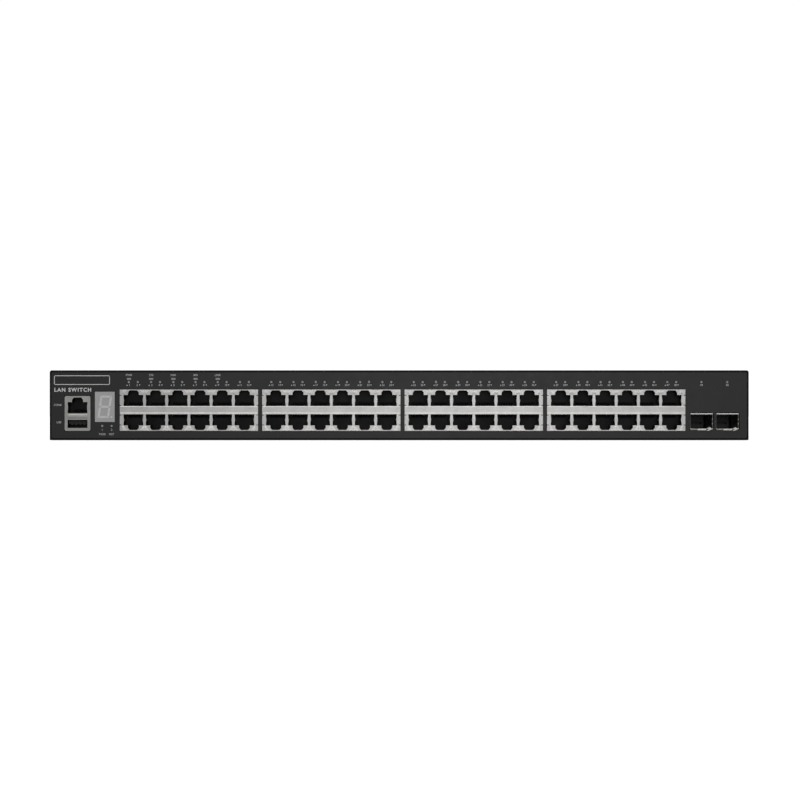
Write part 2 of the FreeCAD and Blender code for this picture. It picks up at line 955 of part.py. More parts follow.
def make_overlay():
    """The printed film on the front panel, with a hole over each lamp."""
    body = new_body("front_overlay")
    drawn = sketch(body, "XZ", FRONT)
    rectangle(
        drawn, "film_inset - width / 2", "width / 2 - film_inset", "film_inset", "height - film_inset"
    )
    pad(body, drawn, "film", back=True)
    dress(body, "Fillet", "film_corner", lambda e: along(e, "Y"))
    drawn = sketch(body, "XZ", FRONT)
    block_cutout(drawn)
    cut = pocket(body, drawn, "film")
    repeat(body, [cut], ("X", "block_pitch", BLOCKS))
    drawn = sketch(body, "XZ", FRONT)
    for side in (-1, 1):
        circle(
            drawn,
            f"block_first - ({PORTS} - 1) / 2 * port_pitch + {side} * lamp_spacing / 2",
            "lamp_height",
            "lamp_radius + lap / 4",
        )
    cut = pocket(body, drawn, "film")
    repeat(body, [cut], ("X", "port_pitch", PORTS), ("X", "block_pitch", BLOCKS))
    drawn = sketch(body, "XZ", FRONT)
    socket_cutouts(drawn)
    for number in range(CAGES):
        circle(drawn, f"cage_x + {number} * cage_pitch", "lamp_height", "lamp_radius + lap / 4")
        circle(drawn, f"module_first + {number} * module_pitch", "module_height", "lamp_radius + lap / 4")
    for number in range(STATUS_LAMPS):
        centred(
            drawn,
            f"block_first + ({number} - ({PORTS} - 1) / 2) * port_pitch - lamp_spacing / 2",
            "status_height",
            "status_width + lap / 2",
            "status_tall + lap / 2",
        )
    pocket(body, drawn, "film")
    return body


def make_cover():
    """The lid: a top sheet with a full-height skirt on each side, vents and screw holes."""
    body = new_body("top_cover")
    drawn = sketch(body, "XZ", PANEL_BACK)
    outline(
        drawn,
        [
            ("-width / 2", "0"),
            ("sheet - width / 2", "0"),
            ("sheet - width / 2", "height - sheet"),
            ("width / 2 - sheet", "height - sheet"),
            ("width / 2 - sheet", "0"),
            ("width / 2", "0"),
            ("width / 2", "height"),
            ("-width / 2", "height"),
        ],
    )
    pad(body, drawn, f"{REAR} - {PANEL_BACK}", back=True)
    dress(
        body,
        "Fillet",
        "bend",
        lambda e: along(e, "Y")
        and e.BoundBox.ZMin > value("height") - 1e-3
        and abs(e.BoundBox.XMax) > value("width / 2") - 1e-3,
    )
    drawn = sketch(body, "YZ")
    rectangle(
        drawn, "vent_front", "vent_front + vent_width", "vent_bottom", "vent_bottom + vent_length"
    )
    cut = pocket(body, drawn, "width", both=True)
    repeat(body, [cut], ("Y", "vent_pitch", value("vent_count")))
    ear_holes(body)
    drawn = sketch(body, "YZ")
    for step in SIDE_STEPS:
        circle(drawn, f"{step} * side_screw_pitch + rear_flange", "side_screw_height", "screw_hole")
    pocket(body, drawn, "width", both=True)
    drawn = sketch(body, "XY", "height")
    for x in TOP_SCREWS:
        circle(drawn, x, f"{REAR_INSIDE} - rear_flange / 2", "screw_hole")
    pocket(body, drawn, "2 * sheet")
    radius = value("screw_hole")
    dress(
        body,
        "Chamfer",
        "sink",
        lambda e: round_at(e, radius, "X", value("width / 2"))
        or round_at(e, radius, "X", -value("width / 2"))
        or round_at(e, radius, "Z", value("height")),
    )
    return body


def make_rear_pieces(flat, pan):
    """The blank plate over the expansion slot, and the screws of the enclosure."""
    plate = new_body("expansion_slot_cover")
    drawn = sketch(plate, "XZ", REAR)
    centred(drawn, "slot_x", "slot_bottom + slot_height / 2", "slot_plate", "slot_plate_height")
    pad(plate, drawn, "sheet", back=True)
    dress(plate, "Fillet", "corner_round", lambda e: along(e, "Y"))
    drawn = sketch(plate, "XZ", REAR)
    for sign in (-1, 1):
        circle(
            drawn,
            f"slot_x + {sign} * slot_screw / 2",
            "slot_bottom + slot_height / 2",
            "screw_hole",
        )
    pocket(plate, drawn, "sheet")
    # a stiffening lip that reaches into the slot
    drawn = sketch(plate, "XZ", REAR)
    centred(
        drawn,
        "slot_x",
        "slot_bottom + slot_height - sheet",
        "slot_opening - 2 * lap",
        "sheet",
    )
    pad(plate, drawn, "5 * sheet")

    backwards = (Vector(1, 0, 0), -90)
    slot_middle = "slot_bottom + slot_height / 2"
    scatter("cover_screws", flat, side_screw_places() + top_screw_places())
    scatter(
        "front_panel_screws",
        flat,
        [
            at(
                f"{step} * front_screw_pitch",
                f"{PANEL_BACK} + return_flange / 2",
                f"{SINK_CLEARANCE}",
                Vector(1, 0, 0),
                180,
            )
            for step in FRONT_SCREW_STEPS
        ],
    )
    scatter(
        "rear_screws",
        pan,
        [
            at(f"slot_x + {side} * slot_screw / 2", f"{REAR} + sheet", slot_middle, *backwards)
            for side in (-1, 1)
        ]
        + [
            at(f"inlet_x + {s} * inlet_screw / 2", f"{REAR} + inlet_flange_thick", "inlet_height", *backwards)
            for s in (-1, 1)
        ],
    )
    scatter(
        "fan_screws",
        pan,
        [
            at(
                f"fan_first + {number} * fan_pitch + {a} * fan_hole_pitch / 2",
                REAR,
                f"fan_height + {r} * fan_hole_pitch / 2",
                *backwards,
            )
            for number in range(FANS)
            for a in (-1, 1)
            for r in (-1, 1)
        ],
    )
    earth = new_body("earth_screw", x="earth_x", y=REAR, z="earth_z")
    drawn = sketch(earth, "YZ")
    outline(
        drawn,
        [
            ("-earth_length", "0"),
            ("-earth_length", "earth_radius"),
            ("0", "earth_radius"),
            ("0", "washer_radius"),
            ("washer", "washer_radius"),
            ("washer", "washer_land"),
            ("earth_head", "washer_land"),
            ("earth_head_height", "earth_head_flat"),
            ("earth_head_height", "0"),
        ],
    )
    revolution(earth, drawn, "Y")
    drawn = sketch(earth, "XZ", "earth_head_height")
    centred(drawn, "0", "0", "earth_slot_length", "earth_slot")
    pocket(earth, drawn, "earth_slot_depth", back=True)


# ---------------------------------------------------------------- network ports


def make_block(number):
    """One ganged block: the steel shield, six two-port jack mouldings and their contact springs."""
    place = f"block_first + {number} * block_pitch"
    first = f"(-({PORTS} - 1) / 2 * port_pitch)"
    upper = f"{BLOCK_MIDDLE} + port_rise"
    lower = f"{BLOCK_MIDDLE} - port_rise"

    shell = new_body(f"port_block_{number + 1}_shield", x=place)
    drawn = sketch(shell, "XZ", SHIELD_FACE)
    centred(drawn, "0", BLOCK_MIDDLE, "block_width", "block_height")
    pad(shell, drawn, "block_depth", back=True)
    drawn = sketch(shell, "XY", "block_bottom")
    rectangle(
        drawn,
        "shield - block_width / 2",
        "block_width / 2 - shield",
        f"{SHIELD_FACE} + shield",
        f"{SHIELD_FACE} + block_depth - shield",
    )
    pocket(shell, drawn, "block_height - shield", back=True)
    drawn = sketch(shell, "XZ", SHIELD_FACE)
    port_outline(drawn, first, upper, waisted=True)
    port_outline(drawn, first, lower, flip=True, waisted=True)
    cut = pocket(shell, drawn, "2 * shield")
    repeat(shell, [cut], ("X", "port_pitch", PORTS))
    # slits in the upper and lower edges free the grounding fingers between the ports
    drawn = sketch(shell, "XZ", SHIELD_FACE)
    for side in (-1, 1):
        for low in ("block_bottom", "block_bottom + block_height - slot_tall"):
            rectangle(
                drawn,
                f"{first} + port_pitch / 2 + {side} * slot_half - slot_width / 2",
                f"{first} + port_pitch / 2 + {side} * slot_half + slot_width / 2",
                low,
                f"{low} + slot_tall",
            )
    cut = pocket(shell, drawn, "finger_reach")
    repeat(shell, [cut], ("X", "port_pitch", PORTS - 1))
    drawn = sketch(shell, "XZ", SHIELD_FACE)
    for side in ("-", ""):
        for level in EDGE_SLOT_STEPS:
            centred(
                drawn,
                f"{side}(block_width / 2 - slot_tall / 2)",
                f"{BLOCK_MIDDLE} + {level} * edge_slot_pitch / 2",
                "slot_tall",
                "slot_width",
            )
    pocket(shell, drawn, "finger_reach")
    # the fingers bow out behind the front panel
    drawn = sketch(shell, "YZ", f"{first} + port_pitch / 2")
    top = "(block_bottom + block_height)"
    outline(
        drawn,
        [
            (f"{PANEL_BACK} + lap", f"{top} - shield"),
            (f"{PANEL_BACK} + lap", top),
            (f"{PANEL_BACK} + finger_reach / 2", f"{top} + finger_bulge"),
            (f"{PANEL_BACK} + finger_reach", top),
            (f"{PANEL_BACK} + finger_reach", f"{top} - shield"),
        ],
    )
    bow = slab(shell, drawn, "2 * (slot_half - slot_width / 2)")
    repeat(shell, [bow], ("X", "port_pitch", PORTS - 1))

    jacks = new_body(f"port_block_{number + 1}_jacks", x=place)
    drawn = sketch(jacks, "XZ", f"{SHIELD_FACE} + shield")
    centred(
        drawn,
        first,
        f"{BLOCK_MIDDLE} - shield / 2",
        "port_pitch - jack_gap",
        "block_height - shield - jack_gap",
    )
    made = [pad(jacks, drawn, "block_depth - 2 * shield - jack_gap", back=True)]
    drawn = sketch(jacks, "XZ", f"{SHIELD_FACE} + shield")
    port_outline(drawn, first, upper, slack="jack_round")
    port_outline(drawn, first, lower, flip=True, slack="jack_round")
    made.append(pocket(jacks, drawn, "cavity"))
    repeat(jacks, made, ("X", "port_pitch", PORTS))

    springs = new_body(f"port_block_{number + 1}_contacts", x=place)
    start = f"{first} - ({CONTACTS} - 1) / 2 * contact_pitch"
    drawn = sketch(springs, "YZ", start)
    contact_outline(drawn, SHIELD_FACE, f"{upper} - jack_round")
    high = slab(springs, drawn, "contact_width")
    drawn = sketch(springs, "YZ", start)
    contact_outline(drawn, SHIELD_FACE, f"{lower} + jack_round", flip=True)
    low = slab(springs, drawn, "contact_width")
    repeat(springs, [high, low], ("X", "contact_pitch", CONTACTS), ("X", "port_pitch", PORTS))


def make_console():
    """The console jack above the USB socket: shield, moulding and contacts."""
    shell = new_body("console_usb_shield", x="console_x")
    drawn = sketch(shell, "XZ", SHIELD_FACE)
    rectangle(drawn, "-console_width / 2", "console_width / 2", "block_bottom", "console_top")
    pad(shell, drawn, "console_depth", back=True)
    dress(shell, "Fillet", "film_corner", lambda e: along(e, "Y"))
    drawn = sketch(shell, "XY", "block_bottom")
    rectangle(
        drawn,
        "shield - console_width / 2",
        "console_width / 2 - shield",
        f"{SHIELD_FACE} + shield",
        f"{SHIELD_FACE} + console_depth - shield",
    )
    pocket(shell, drawn, "console_top - block_bottom - shield", back=True)
    drawn = sketch(shell, "XZ", SHIELD_FACE)
    port_outline(drawn, "0", "console_floor", waisted=True)
    centred(drawn, "0", "usb_floor + usb_height / 2", "usb_width", "usb_height")
    pocket(shell, drawn, "2 * shield")

    moulding = new_body("console_usb_housing", x="console_x")
    drawn = sketch(moulding, "XZ", f"{SHIELD_FACE} + shield")
    rectangle(
        drawn,
        "shield + jack_gap - console_width / 2",
        "console_width / 2 - shield - jack_gap",
        "block_bottom + jack_gap",
        "console_top - 2 * shield",
    )
    pad(moulding, drawn, "console_depth - 2 * shield - jack_gap", back=True)
    drawn = sketch(moulding, "XZ", f"{SHIELD_FACE} + shield")
    port_outline(drawn, "0", "console_floor", slack="jack_round")
    pocket(moulding, drawn, "cavity")
    drawn = sketch(moulding, "XZ", f"{SHIELD_FACE} + shield")
    centred(
        drawn, "0", "usb_floor + usb_height / 2", "usb_width + jack_gap", "usb_height + jack_gap"
    )
    pocket(moulding, drawn, "usb_depth")
    drawn = sketch(moulding, "XZ", f"{SHIELD_FACE} + 3 * shield")
    rectangle(
        drawn,
        "-usb_tongue / 2",
        "usb_tongue / 2",
        "usb_floor + usb_height - usb_tongue_gap - usb_tongue_thick",
        "usb_floor + usb_height - usb_tongue_gap",
    )
    pad(moulding, drawn, "usb_depth", back=True)

    springs = new_body("console_usb_contacts", x="console_x")
    drawn = sketch(springs, "YZ", f"-({CONTACTS} - 1) / 2 * contact_pitch")
    contact_outline(drawn, SHIELD_FACE, "console_floor - jack_round")
    wire = slab(springs, drawn, "contact_width")
    repeat(springs, [wire], ("X", "contact_pitch", CONTACTS))
    drawn = sketch(springs, "XZ", f"{SHIELD_FACE} + usb_contact_back")
    centred(
        drawn,
        f"-({USB_CONTACTS} - 1) / 2 * usb_contact_pitch",
        "usb_floor + usb_height - usb_tongue_gap - usb_tongue_thick - contact_thick / 2 - contact_lift",
        "usb_contact_width",
        "contact_thick",
    )
    strip = pad(springs, drawn, "usb_depth - usb_contact_back", back=True)
    repeat(springs, [strip], ("X", "usb_contact_pitch", USB_CONTACTS))


def make_cage(number):
    """One SFP+ cage: a sheet-metal tunnel on legs, with grounding fingers and a latch tongue."""
    body = new_body(f"sfp_cage_{number + 1}", x=f"cage_x + {number} * cage_pitch")
    top = "(cage_bottom + cage_height)"
    half = "(cage_width / 2)"
    drawn = sketch(body, "XZ", CAGE_MOUTH)
    rectangle(drawn, f"-{half}", half, "cage_bottom", top)
    pad(body, drawn, "cage_depth", back=True)
    drawn = sketch(body, "XZ", CAGE_MOUTH)
    rectangle(
        drawn,
        f"cage_wall - {half}",
        f"{half} - cage_wall",
        "cage_bottom + cage_wall",
        f"{top} - cage_wall",
    )
    pocket(body, drawn, "cage_depth - cage_wall")
    # the side walls start behind the upper and lower lips
    drawn = sketch(body, "YZ")
    rectangle(
        drawn,
        CAGE_MOUTH,
        f"{CAGE_MOUTH} + cage_relief",
        "cage_bottom + 2 * cage_wall",
        f"{top} - 2 * cage_wall",
    )
    pocket(body, drawn, "cage_width", both=True)
    # legs down to the board
    drawn = sketch(body, "XY", "board_top")
    for side in ("-", ""):
        x = f"{side}({half} - cage_wall / 2)"
        centred(drawn, x, f"{CAGE_MOUTH} + leg_first", "cage_wall", "cage_leg")
    leg = pad(body, drawn, "cage_bottom - board_top + cage_wall")
    repeat(body, [leg], ("Y", "leg_pitch", LEGS))
    # latch tongue: two slits, a three-cornered hole and a lip turned down at the mouth
    drawn = sketch(body, "XY", "cage_bottom + cage_wall")
    for side in (-1, 1):
        rectangle(
            drawn,
            f"{side} * (latch_half + latch_slot / 2) - latch_slot / 2",
            f"{side} * (latch_half + latch_slot / 2) + latch_slot / 2",
            CAGE_MOUTH,
            f"{CAGE_MOUTH} + latch_length",
        )
    outline(
        drawn,
        [
            ("-latch_hole / 2", f"{CAGE_MOUTH} + latch_hole_back"),
            ("latch_hole / 2", f"{CAGE_MOUTH} + latch_hole_back"),
            ("0", f"{CAGE_MOUTH} + latch_hole_back + latch_hole"),
        ],
    )
    pocket(body, drawn, "cage_wall")
    drawn = sketch(body, "YZ")
    outline(
        drawn,
        [
            (f"{CAGE_MOUTH} + cage_wall", "cage_bottom"),
            (f"{CAGE_MOUTH} + cage_wall", "cage_bottom + cage_wall"),
            (CAGE_MOUTH, "cage_bottom + cage_wall"),
            (f"{CAGE_MOUTH} - latch_drop", "cage_bottom - latch_drop / 2"),
            (f"{CAGE_MOUTH} - latch_drop / 2", "cage_bottom - latch_drop"),
        ],
    )
    slab(body, drawn, "2 * latch_half")
    # grounding fingers round the mouth: three above, two on each side, two below
    start = f"{CAGE_MOUTH} + finger_start"
    crest = f"{CAGE_MOUTH} + finger_crest"
    end = f"{CAGE_MOUTH} + finger_end"
    above = (f"{top} - finger_root", f"{top} + cage_finger")
    below = ("cage_bottom + finger_root", "cage_bottom - cage_finger")
    spots = [(f"{step} * top_finger_pitch", above) for step in (-1, 0, 1)]
    spots += [(f"{step} * low_finger_x", below) for step in (-1, 1)]
    for x, (root, tip) in spots:
        drawn = sketch(body, "YZ", x)
        outline(drawn, [(start, root), (crest, tip), (end, root)])
        slab(body, drawn, "top_finger")
    for level in (-1, 1):
        drawn = sketch(body, "XY", f"cage_bottom + cage_height / 2 + {level} * side_finger_pitch / 2")
        for side in ("-", ""):
            root = f"{side}({half} - finger_root)"
            outline(drawn, [(root, start), (f"{side}({half} + cage_finger)", crest), (root, end)])
        slab(body, drawn, "side_finger")


def make_sfp_sockets():
    """The edge sockets at the back of the cages, in one node."""
    body = new_body("sfp_sockets", x="cage_x")
    drawn = sketch(body, "XZ", f"{CAGE_MOUTH} + host_front")
    rectangle(
        drawn,
        "host_inset - cage_width / 2",
        "cage_width / 2 - host_inset",
        "cage_bottom + host_lift",
        "cage_bottom + cage_wall + host_height",
    )
    block = pad(body, drawn, "host_depth", back=True)
    drawn = sketch(body, "XZ", f"{CAGE_MOUTH} + host_front")
    centred(drawn, "0", "cage_bottom + host_slit", "host_slit_width", "host_slit_height")
    slit = pocket(body, drawn, "host_slit_depth")
    repeat(body, [block, slit], ("X", "cage_pitch", CAGES))


def make_display():
    """The seven-segment display: a grey package and its raised segments."""
    body = new_body("display_body", x="display_x")
    drawn = sketch(body, "XZ", SHIELD_FACE)
    rectangle(
        drawn,
        "-display_width / 2",
        "display_width / 2",
        "display_bottom",
        "display_bottom + display_height",
    )
    pad(body, drawn, "display_depth", back=True)
    dress(body, "Fillet", "edge_round / 4", lambda e: along(e, "Y"))

    marks = new_body("display_segments", x="display_x", z="display_bottom + display_height / 2")
    drawn = sketch(marks, "XZ", SHIELD_FACE)
    half, tall = "digit_width / 2", "digit_height / 2"
    inside = f"({half} - segment)"

    def lean(points):
        """Corners (x, z), slanted as the digit is."""
        outline(drawn, [(f"({x}) + digit_slope * ({z})", z) for x, z in points])

    for level, up in ((f"({tall})", -1), (f"(-{tall})", 1)):
        lean(
            [
                (f"segment_gap - {half}", level),
                (f"{half} - segment_gap", level),
                (f"{inside} - segment_gap", f"{level} + {up} * segment"),
                (f"segment_gap - {inside}", f"{level} + {up} * segment"),
            ]
        )
    lean(
        [
            (f"segment_gap - {half} + segment / 2", "0"),
            (f"segment_gap - {inside}", "-segment / 2"),
            (f"{inside} - segment_gap", "-segment / 2"),
            (f"{half} - segment_gap - segment / 2", "0"),
            (f"{inside} - segment_gap", "segment / 2"),
            (f"segment_gap - {inside}", "segment / 2"),
        ]
    )
    for side in (-1, 1):
        for up in (-1, 1):
            lean(
                [
                    (f"{side} * {half}", f"{up} * ({tall} - segment_gap)"),
                    (f"{side} * {inside}", f"{up} * ({tall} - segment_gap - segment)"),
                    (f"{side} * {inside}", f"{up} * (segment_gap + segment / 2)"),
                    (f"{side} * ({half} - segment / 2)", f"{up} * segment_gap"),
                    (f"{side} * {half}", f"{up} * (segment_gap + segment / 2)"),
                ]
            )
    circle(drawn, f"{half} + point_offset", f"-{tall} + segment / 2", "point_radius")
    pad(marks, drawn, "segment_proud")


def make_nameplate():
    """A blank nameplate with a raised rim."""
    body = new_body("nameplate", x="plate_x", z="plate_bottom + plate_height / 2")
    drawn = sketch(body, "XZ", FRONT)
    centred(drawn, "0", "0", "plate_width", "plate_height")
    pad(body, drawn, "plate_thick")
    dress(body, "Fillet", "edge_round / 2", lambda e: along(e, "Y"))
    drawn = sketch(body, "XZ", f"{FRONT} - plate_thick")
    centred(drawn, "0", "0", "plate_width - 2 * plate_rim", "plate_height - 2 * plate_rim")
    pocket(body, drawn, "plate_thick / 2")


# ---------------------------------------------------------------- indicator lamps


def elbow(body, x, level, wide, tall, back, foot):
    """One light pipe: a bar from the front panel back over the ports and down to the board."""
    drawn = sketch(body, "YZ", x)
    low, high = f"({level} - ({tall}) / 2)", f"({level} + ({tall}) / 2)"
    outline(
        drawn,
        [
            (FACE, low),
            (f"{FACE} + {back}", low),
            (f"{FACE} + {back}", foot),
            (f"{FACE} + {back} + {tall}", foot),
            (f"{FACE} + {back} + {tall}", f"{high} - {tall} / 2"),
            (f"{FACE} + {back} + {tall} / 2", high),
            (FACE, high),
        ],
    )
    return slab(body, drawn, wide)


def make_light_pipes():
    """Clear mouldings that bring the light of the board's lamps to the front."""
    foot = "(board_top + lamp_chip + pipe_gap)"
    ports = new_body("port_light_pipes", x="block_first")
    first = f"(-({PORTS} - 1) / 2 * port_pitch)"
    bars = []
    for side in (-1, 1):
        x = f"{first} + {side} * lamp_spacing / 2"
        bars.append(elbow(ports, x, "lamp_height", "pipe", "pipe", "pipe_back", foot))
        drawn = sketch(ports, "XZ", FACE)
        circle(drawn, x, "lamp_height", "lamp_radius")
        bars.append(pad(ports, drawn, "film"))
    drawn = sketch(ports, "XZ", f"{FACE} + rib_back")
    centred(drawn, f"{first} + port_pitch / 2", "lamp_height", "port_pitch + lamp_spacing", "rib")
    rib = pad(ports, drawn, "2 * rib", back=True)
    repeat(ports, bars, ("X", "port_pitch", PORTS), ("X", "block_pitch", BLOCKS))
    repeat(ports, [rib], ("X", "port_pitch", PORTS - 1), ("X", "block_pitch", BLOCKS))

    others = new_body("status_light_pipes")
    made = []
    x = f"block_first + {first} - lamp_spacing / 2"
    made.append(elbow(others, x, "status_height", "status_width", "status_tall", "status_back", foot))
    drawn = sketch(others, "XZ", FACE)
    centred(drawn, x, "status_height", "status_width", "status_tall")
    made.append(pad(others, drawn, "film"))
    repeat(others, made, ("X", "port_pitch", STATUS_LAMPS))
    made = [elbow(others, "cage_x", "lamp_height", "pipe", "pipe", "uplink_back", foot)]
    drawn = sketch(others, "XZ", FACE)
    circle(drawn, "cage_x", "lamp_height", "lamp_radius")
    made.append(pad(others, drawn, "film"))
    repeat(others, made, ("X", "cage_pitch", CAGES))
    drawn = sketch(others, "XZ", FRONT)
    circle(drawn, "module_first", "module_height", "lamp_radius")
    made = [pad(others, drawn, "module_back", back=True)]
    repeat(others, made, ("X", "module_pitch", CAGES))

    lamps = new_body("indicator_leds")
    made = []
    for side in (-1, 1):
        drawn = sketch(lamps, "XY", "board_top")
        centred(
            drawn,
            f"block_first + {first} + {side} * lamp_spacing / 2",
            f"{FACE} + pipe_back + pipe / 2",
            "lamp_chip_length",
            "lamp_chip",
        )
        made.append(pad(lamps, drawn, "lamp_chip"))
    repeat(lamps, made, ("X", "port_pitch", PORTS), ("X", "block_pitch", BLOCKS))
    drawn = sketch(lamps, "XY", "board_top")
    centred(drawn, x, f"{FACE} + status_back + status_tall / 2", "status_width", "lamp_chip")
    repeat(lamps, [pad(lamps, drawn, "lamp_chip")], ("X", "port_pitch", STATUS_LAMPS))
    drawn = sketch(lamps, "XY", "board_top")
    centred(drawn, "cage_x", f"{FACE} + uplink_back + pipe / 2", "lamp_chip_length", "lamp_chip")
    repeat(lamps, [pad(lamps, drawn, "lamp_chip")], ("X", "cage_pitch", CAGES))
    drawn = sketch(lamps, "XY", "board_top")
    centred(drawn, "module_first", f"{FRONT} + module_back + lamp_chip", "lamp_chip_length", "lamp_chip")
    repeat(lamps, [pad(lamps, drawn, "4 * lamp_chip")], ("X", "module_pitch", CAGES))


# ---------------------------------------------------------------- main board


def board_posts():
    """Places of the main board's standoffs, clear of the ports and the power supply."""
    rows = (
        ("board_front + post_front", FRONT_POSTS),
        ("board_front + board_depth - post_margin", REAR_POSTS),
    )
    return [(str(x), y) for y, spots in rows for x in spots]


def make_board():
    """The main board and its capacitors, on standoffs that are pressed into the floor."""
    body = new_body("main_board")
    drawn = sketch(body, "XY", "board_top - board")
    rectangle(
        drawn, "-board_width / 2", "board_width / 2", "board_front", "board_front + board_depth"
    )
    pad(body, drawn, "board")
    drawn = sketch(body, "XY", "board_top")
    for x, y in board_posts():
        circle(drawn, x, y, "board_hole")
    pocket(body, drawn, "board")

    # each standoff has a round shank in the sheet, and a hexagon above it
    post = new_body("standoff_template", listed=False)
    drawn = sketch(post, "XY", "-sheet")
    circle(drawn, "0", "0", "shank")
    circle(drawn, "0", "0", "screw_hole")
    pad(post, drawn, "sheet")
    drawn = sketch(post, "XY")
    corners = [(math.cos(math.radians(60 * n)), math.sin(math.radians(60 * n))) for n in range(6)]
    outline(drawn, [(f"standoff * {x:.6f}", f"standoff * {y:.6f}") for x, y in corners])
    circle(drawn, "0", "0", "screw_hole")
    pad(post, drawn, "board_top - board - sheet")
    scatter("board_standoffs", post, [at(x, y, "sheet") for x, y in board_posts()])
    short = new_body("board_screw_template", listed=False)
    drawn = sketch(short, "XZ")
    outline(
        drawn,
        [
            ("0", "board_head_height"),
            ("board_head_flat", "board_head_height"),
            ("board_head", "board_head_side"),
            ("board_head", "0"),
            ("screw_radius", "0"),
            ("screw_radius", "-board_screw_length"),
            ("0", "-board_screw_length"),
        ],
    )
    revolution(short, drawn, "Z")
    scatter("board_screws", short, [at(x, y, "board_top") for x, y in board_posts()])

    cans = new_body("board_capacitors")
    drawn = sketch(cans, "XY", "board_top")
    circle(drawn, "can_x", "can_y", "can_radius")
    repeat(cans, [pad(cans, drawn, "can_height")], ("X", "can_pitch", value("can_count")))


def make_chips():
    """The packages on the main board: the switch chip, the port drivers and the memory."""
    for label, x, y, wide, deep, thick, row in (
        ("switch_chip", "0", "chip_y", "chip", "chip", "chip_thick", None),
        ("phy_chips", PHY_FIRST, "phy_y", "phy", "phy", "phy_thick", ("phy_pitch", "phy_count")),
        (
            "memory_chips",
            "memory_x",
            "chip_y",
            "memory_width",
            "memory_length",
            "memory_thick",
            ("memory_pitch", "memory_count"),
        ),
    ):
        chips = new_body(label)
        drawn = sketch(chips, "XY", "board_top")
        centred(drawn, x, y, wide, deep)
        package = pad(chips, drawn, thick)
        if row:
            repeat(chips, [package], ("X", row[0], value(row[1])))


def heatsink(label, x, y, under, across, base, tall, fins, copies=()):
    """A finned sink on a package: fins is (pitch, count), and copies repeat the whole sink."""
    sink = new_body(label)
    drawn = sketch(sink, "XY", f"board_top + {under}")
    centred(drawn, x, y, across, across)
    plate = pad(sink, drawn, base)
    drawn = sketch(sink, "XY", f"board_top + {under}")
    left = f"({x}) - {across} / 2"
    rectangle(drawn, left, f"{left} + fin", f"{y} - {across} / 2", f"{y} + {across} / 2")
    fin = pad(sink, drawn, tall)
    if copies:
        repeat(sink, [plate], *copies)
    repeat(sink, [fin], ("X", fins[0], value(fins[1])), *copies)


def make_heatsinks():
    heatsink(
        "switch_heatsink",
        "0",
        "chip_y",
        "chip_thick",
        "sink_size",
        "sink_base",
        "sink_height",
        ("fin_pitch", "fin_count"),
    )
    heatsink(
        "phy_heatsinks",
        PHY_FIRST,
        "phy_y",
        "phy_thick",
        "small_sink",
        "small_base",
        "small_height",
        ("small_fin_pitch", "small_fin_count"),
        [("X", "phy_pitch", value("phy_count"))],
    )


def make_expansion_socket():
    """The board's edge socket behind the expansion slot."""
    socket = new_body("expansion_socket")
    face = "(board_front + board_depth - slot_socket_margin)"
    drawn = sketch(socket, "XY", "board_top")
    rectangle(
        drawn,
        "slot_x - slot_socket / 2",
        "slot_x + slot_socket / 2",
        f"{face} - slot_socket_depth",
        face,
    )
    pad(socket, drawn, "slot_socket_height")
    drawn = sketch(socket, "XZ", face)
    centred(
        drawn, "slot_x", "board_top + slot_socket_height / 2", "slot_socket_slit_width", "slot_socket_slit"
    )
    pocket(socket, drawn, "slot_socket_slit_depth", back=True)


def make_supply():
    """The power supply board with its transformer, capacitors and heat sinks."""
    body = new_body("power_supply_board")
    drawn = sketch(body, "XY", "supply_bottom")
    rectangle(
        drawn,
        "supply_x - supply_width / 2",
        "supply_x + supply_width / 2",
        "supply_front",
        "supply_front + supply_depth",
    )
    pad(body, drawn, "board")
    # four feet carry it on the chassis floor
    drawn = sketch(body, "XY", "sheet")
    for x in (-1, 1):
        for y in ("supply_front + supply_foot", "supply_front + supply_depth - supply_foot"):
            circle(drawn, f"supply_x + {x} * (supply_width / 2 - supply_foot)", y, "standoff")
    pad(body, drawn, "supply_bottom - sheet")

    coil = new_body("power_transformer")
    drawn = sketch(coil, "XY", SUPPLY_TOP)
    centred(drawn, "supply_x", "coil_y", "coil", "core_depth")
    pad(coil, drawn, "core_height")
    drawn = sketch(coil, "XY", SUPPLY_TOP)
    centred(drawn, "supply_x", "coil_y", "coil_width", "coil")
    pad(coil, drawn, "coil_height")
    dress(coil, "Fillet", "bend", lambda e: along(e, "Z"))

    cans = new_body("power_capacitors")
    drawn = sketch(cans, "XY", SUPPLY_TOP)
    for y in ("supply_can_front", "supply_can_rear"):
        circle(drawn, "supply_x + supply_can_x", f"coil_y + {y}", "supply_can")
    pad(cans, drawn, "supply_can_height")
    drawn = sketch(cans, "XY", SUPPLY_TOP)
    for number in range(OUTPUT_CANS):
        x = f"supply_x + output_can_x + {number} * output_can_pitch"
        circle(drawn, x, "supply_front + output_can_y", "output_can")
    pad(cans, drawn, "output_can_height")

    sinks = new_body("power_heatsinks")
    drawn = sketch(sinks, "XY", SUPPLY_TOP)
    for sign in (-1, 1):
        x = f"supply_x + {sign} * supply_sink_x"
        centred(drawn, x, "coil_y + supply_sink_y", "supply_sink", "supply_sink_depth")
    pad(sinks, drawn, "supply_sink_height")
    drawn = sketch(sinks, "XY", SUPPLY_TOP)
    for step in (-1, 0, 1):
        y = f"coil_y + {step} * supply_fin_pitch"
        centred(drawn, "supply_x + supply_fin_x", y, "supply_fin_length", "supply_fin")
    pad(sinks, drawn, "supply_sink_height")


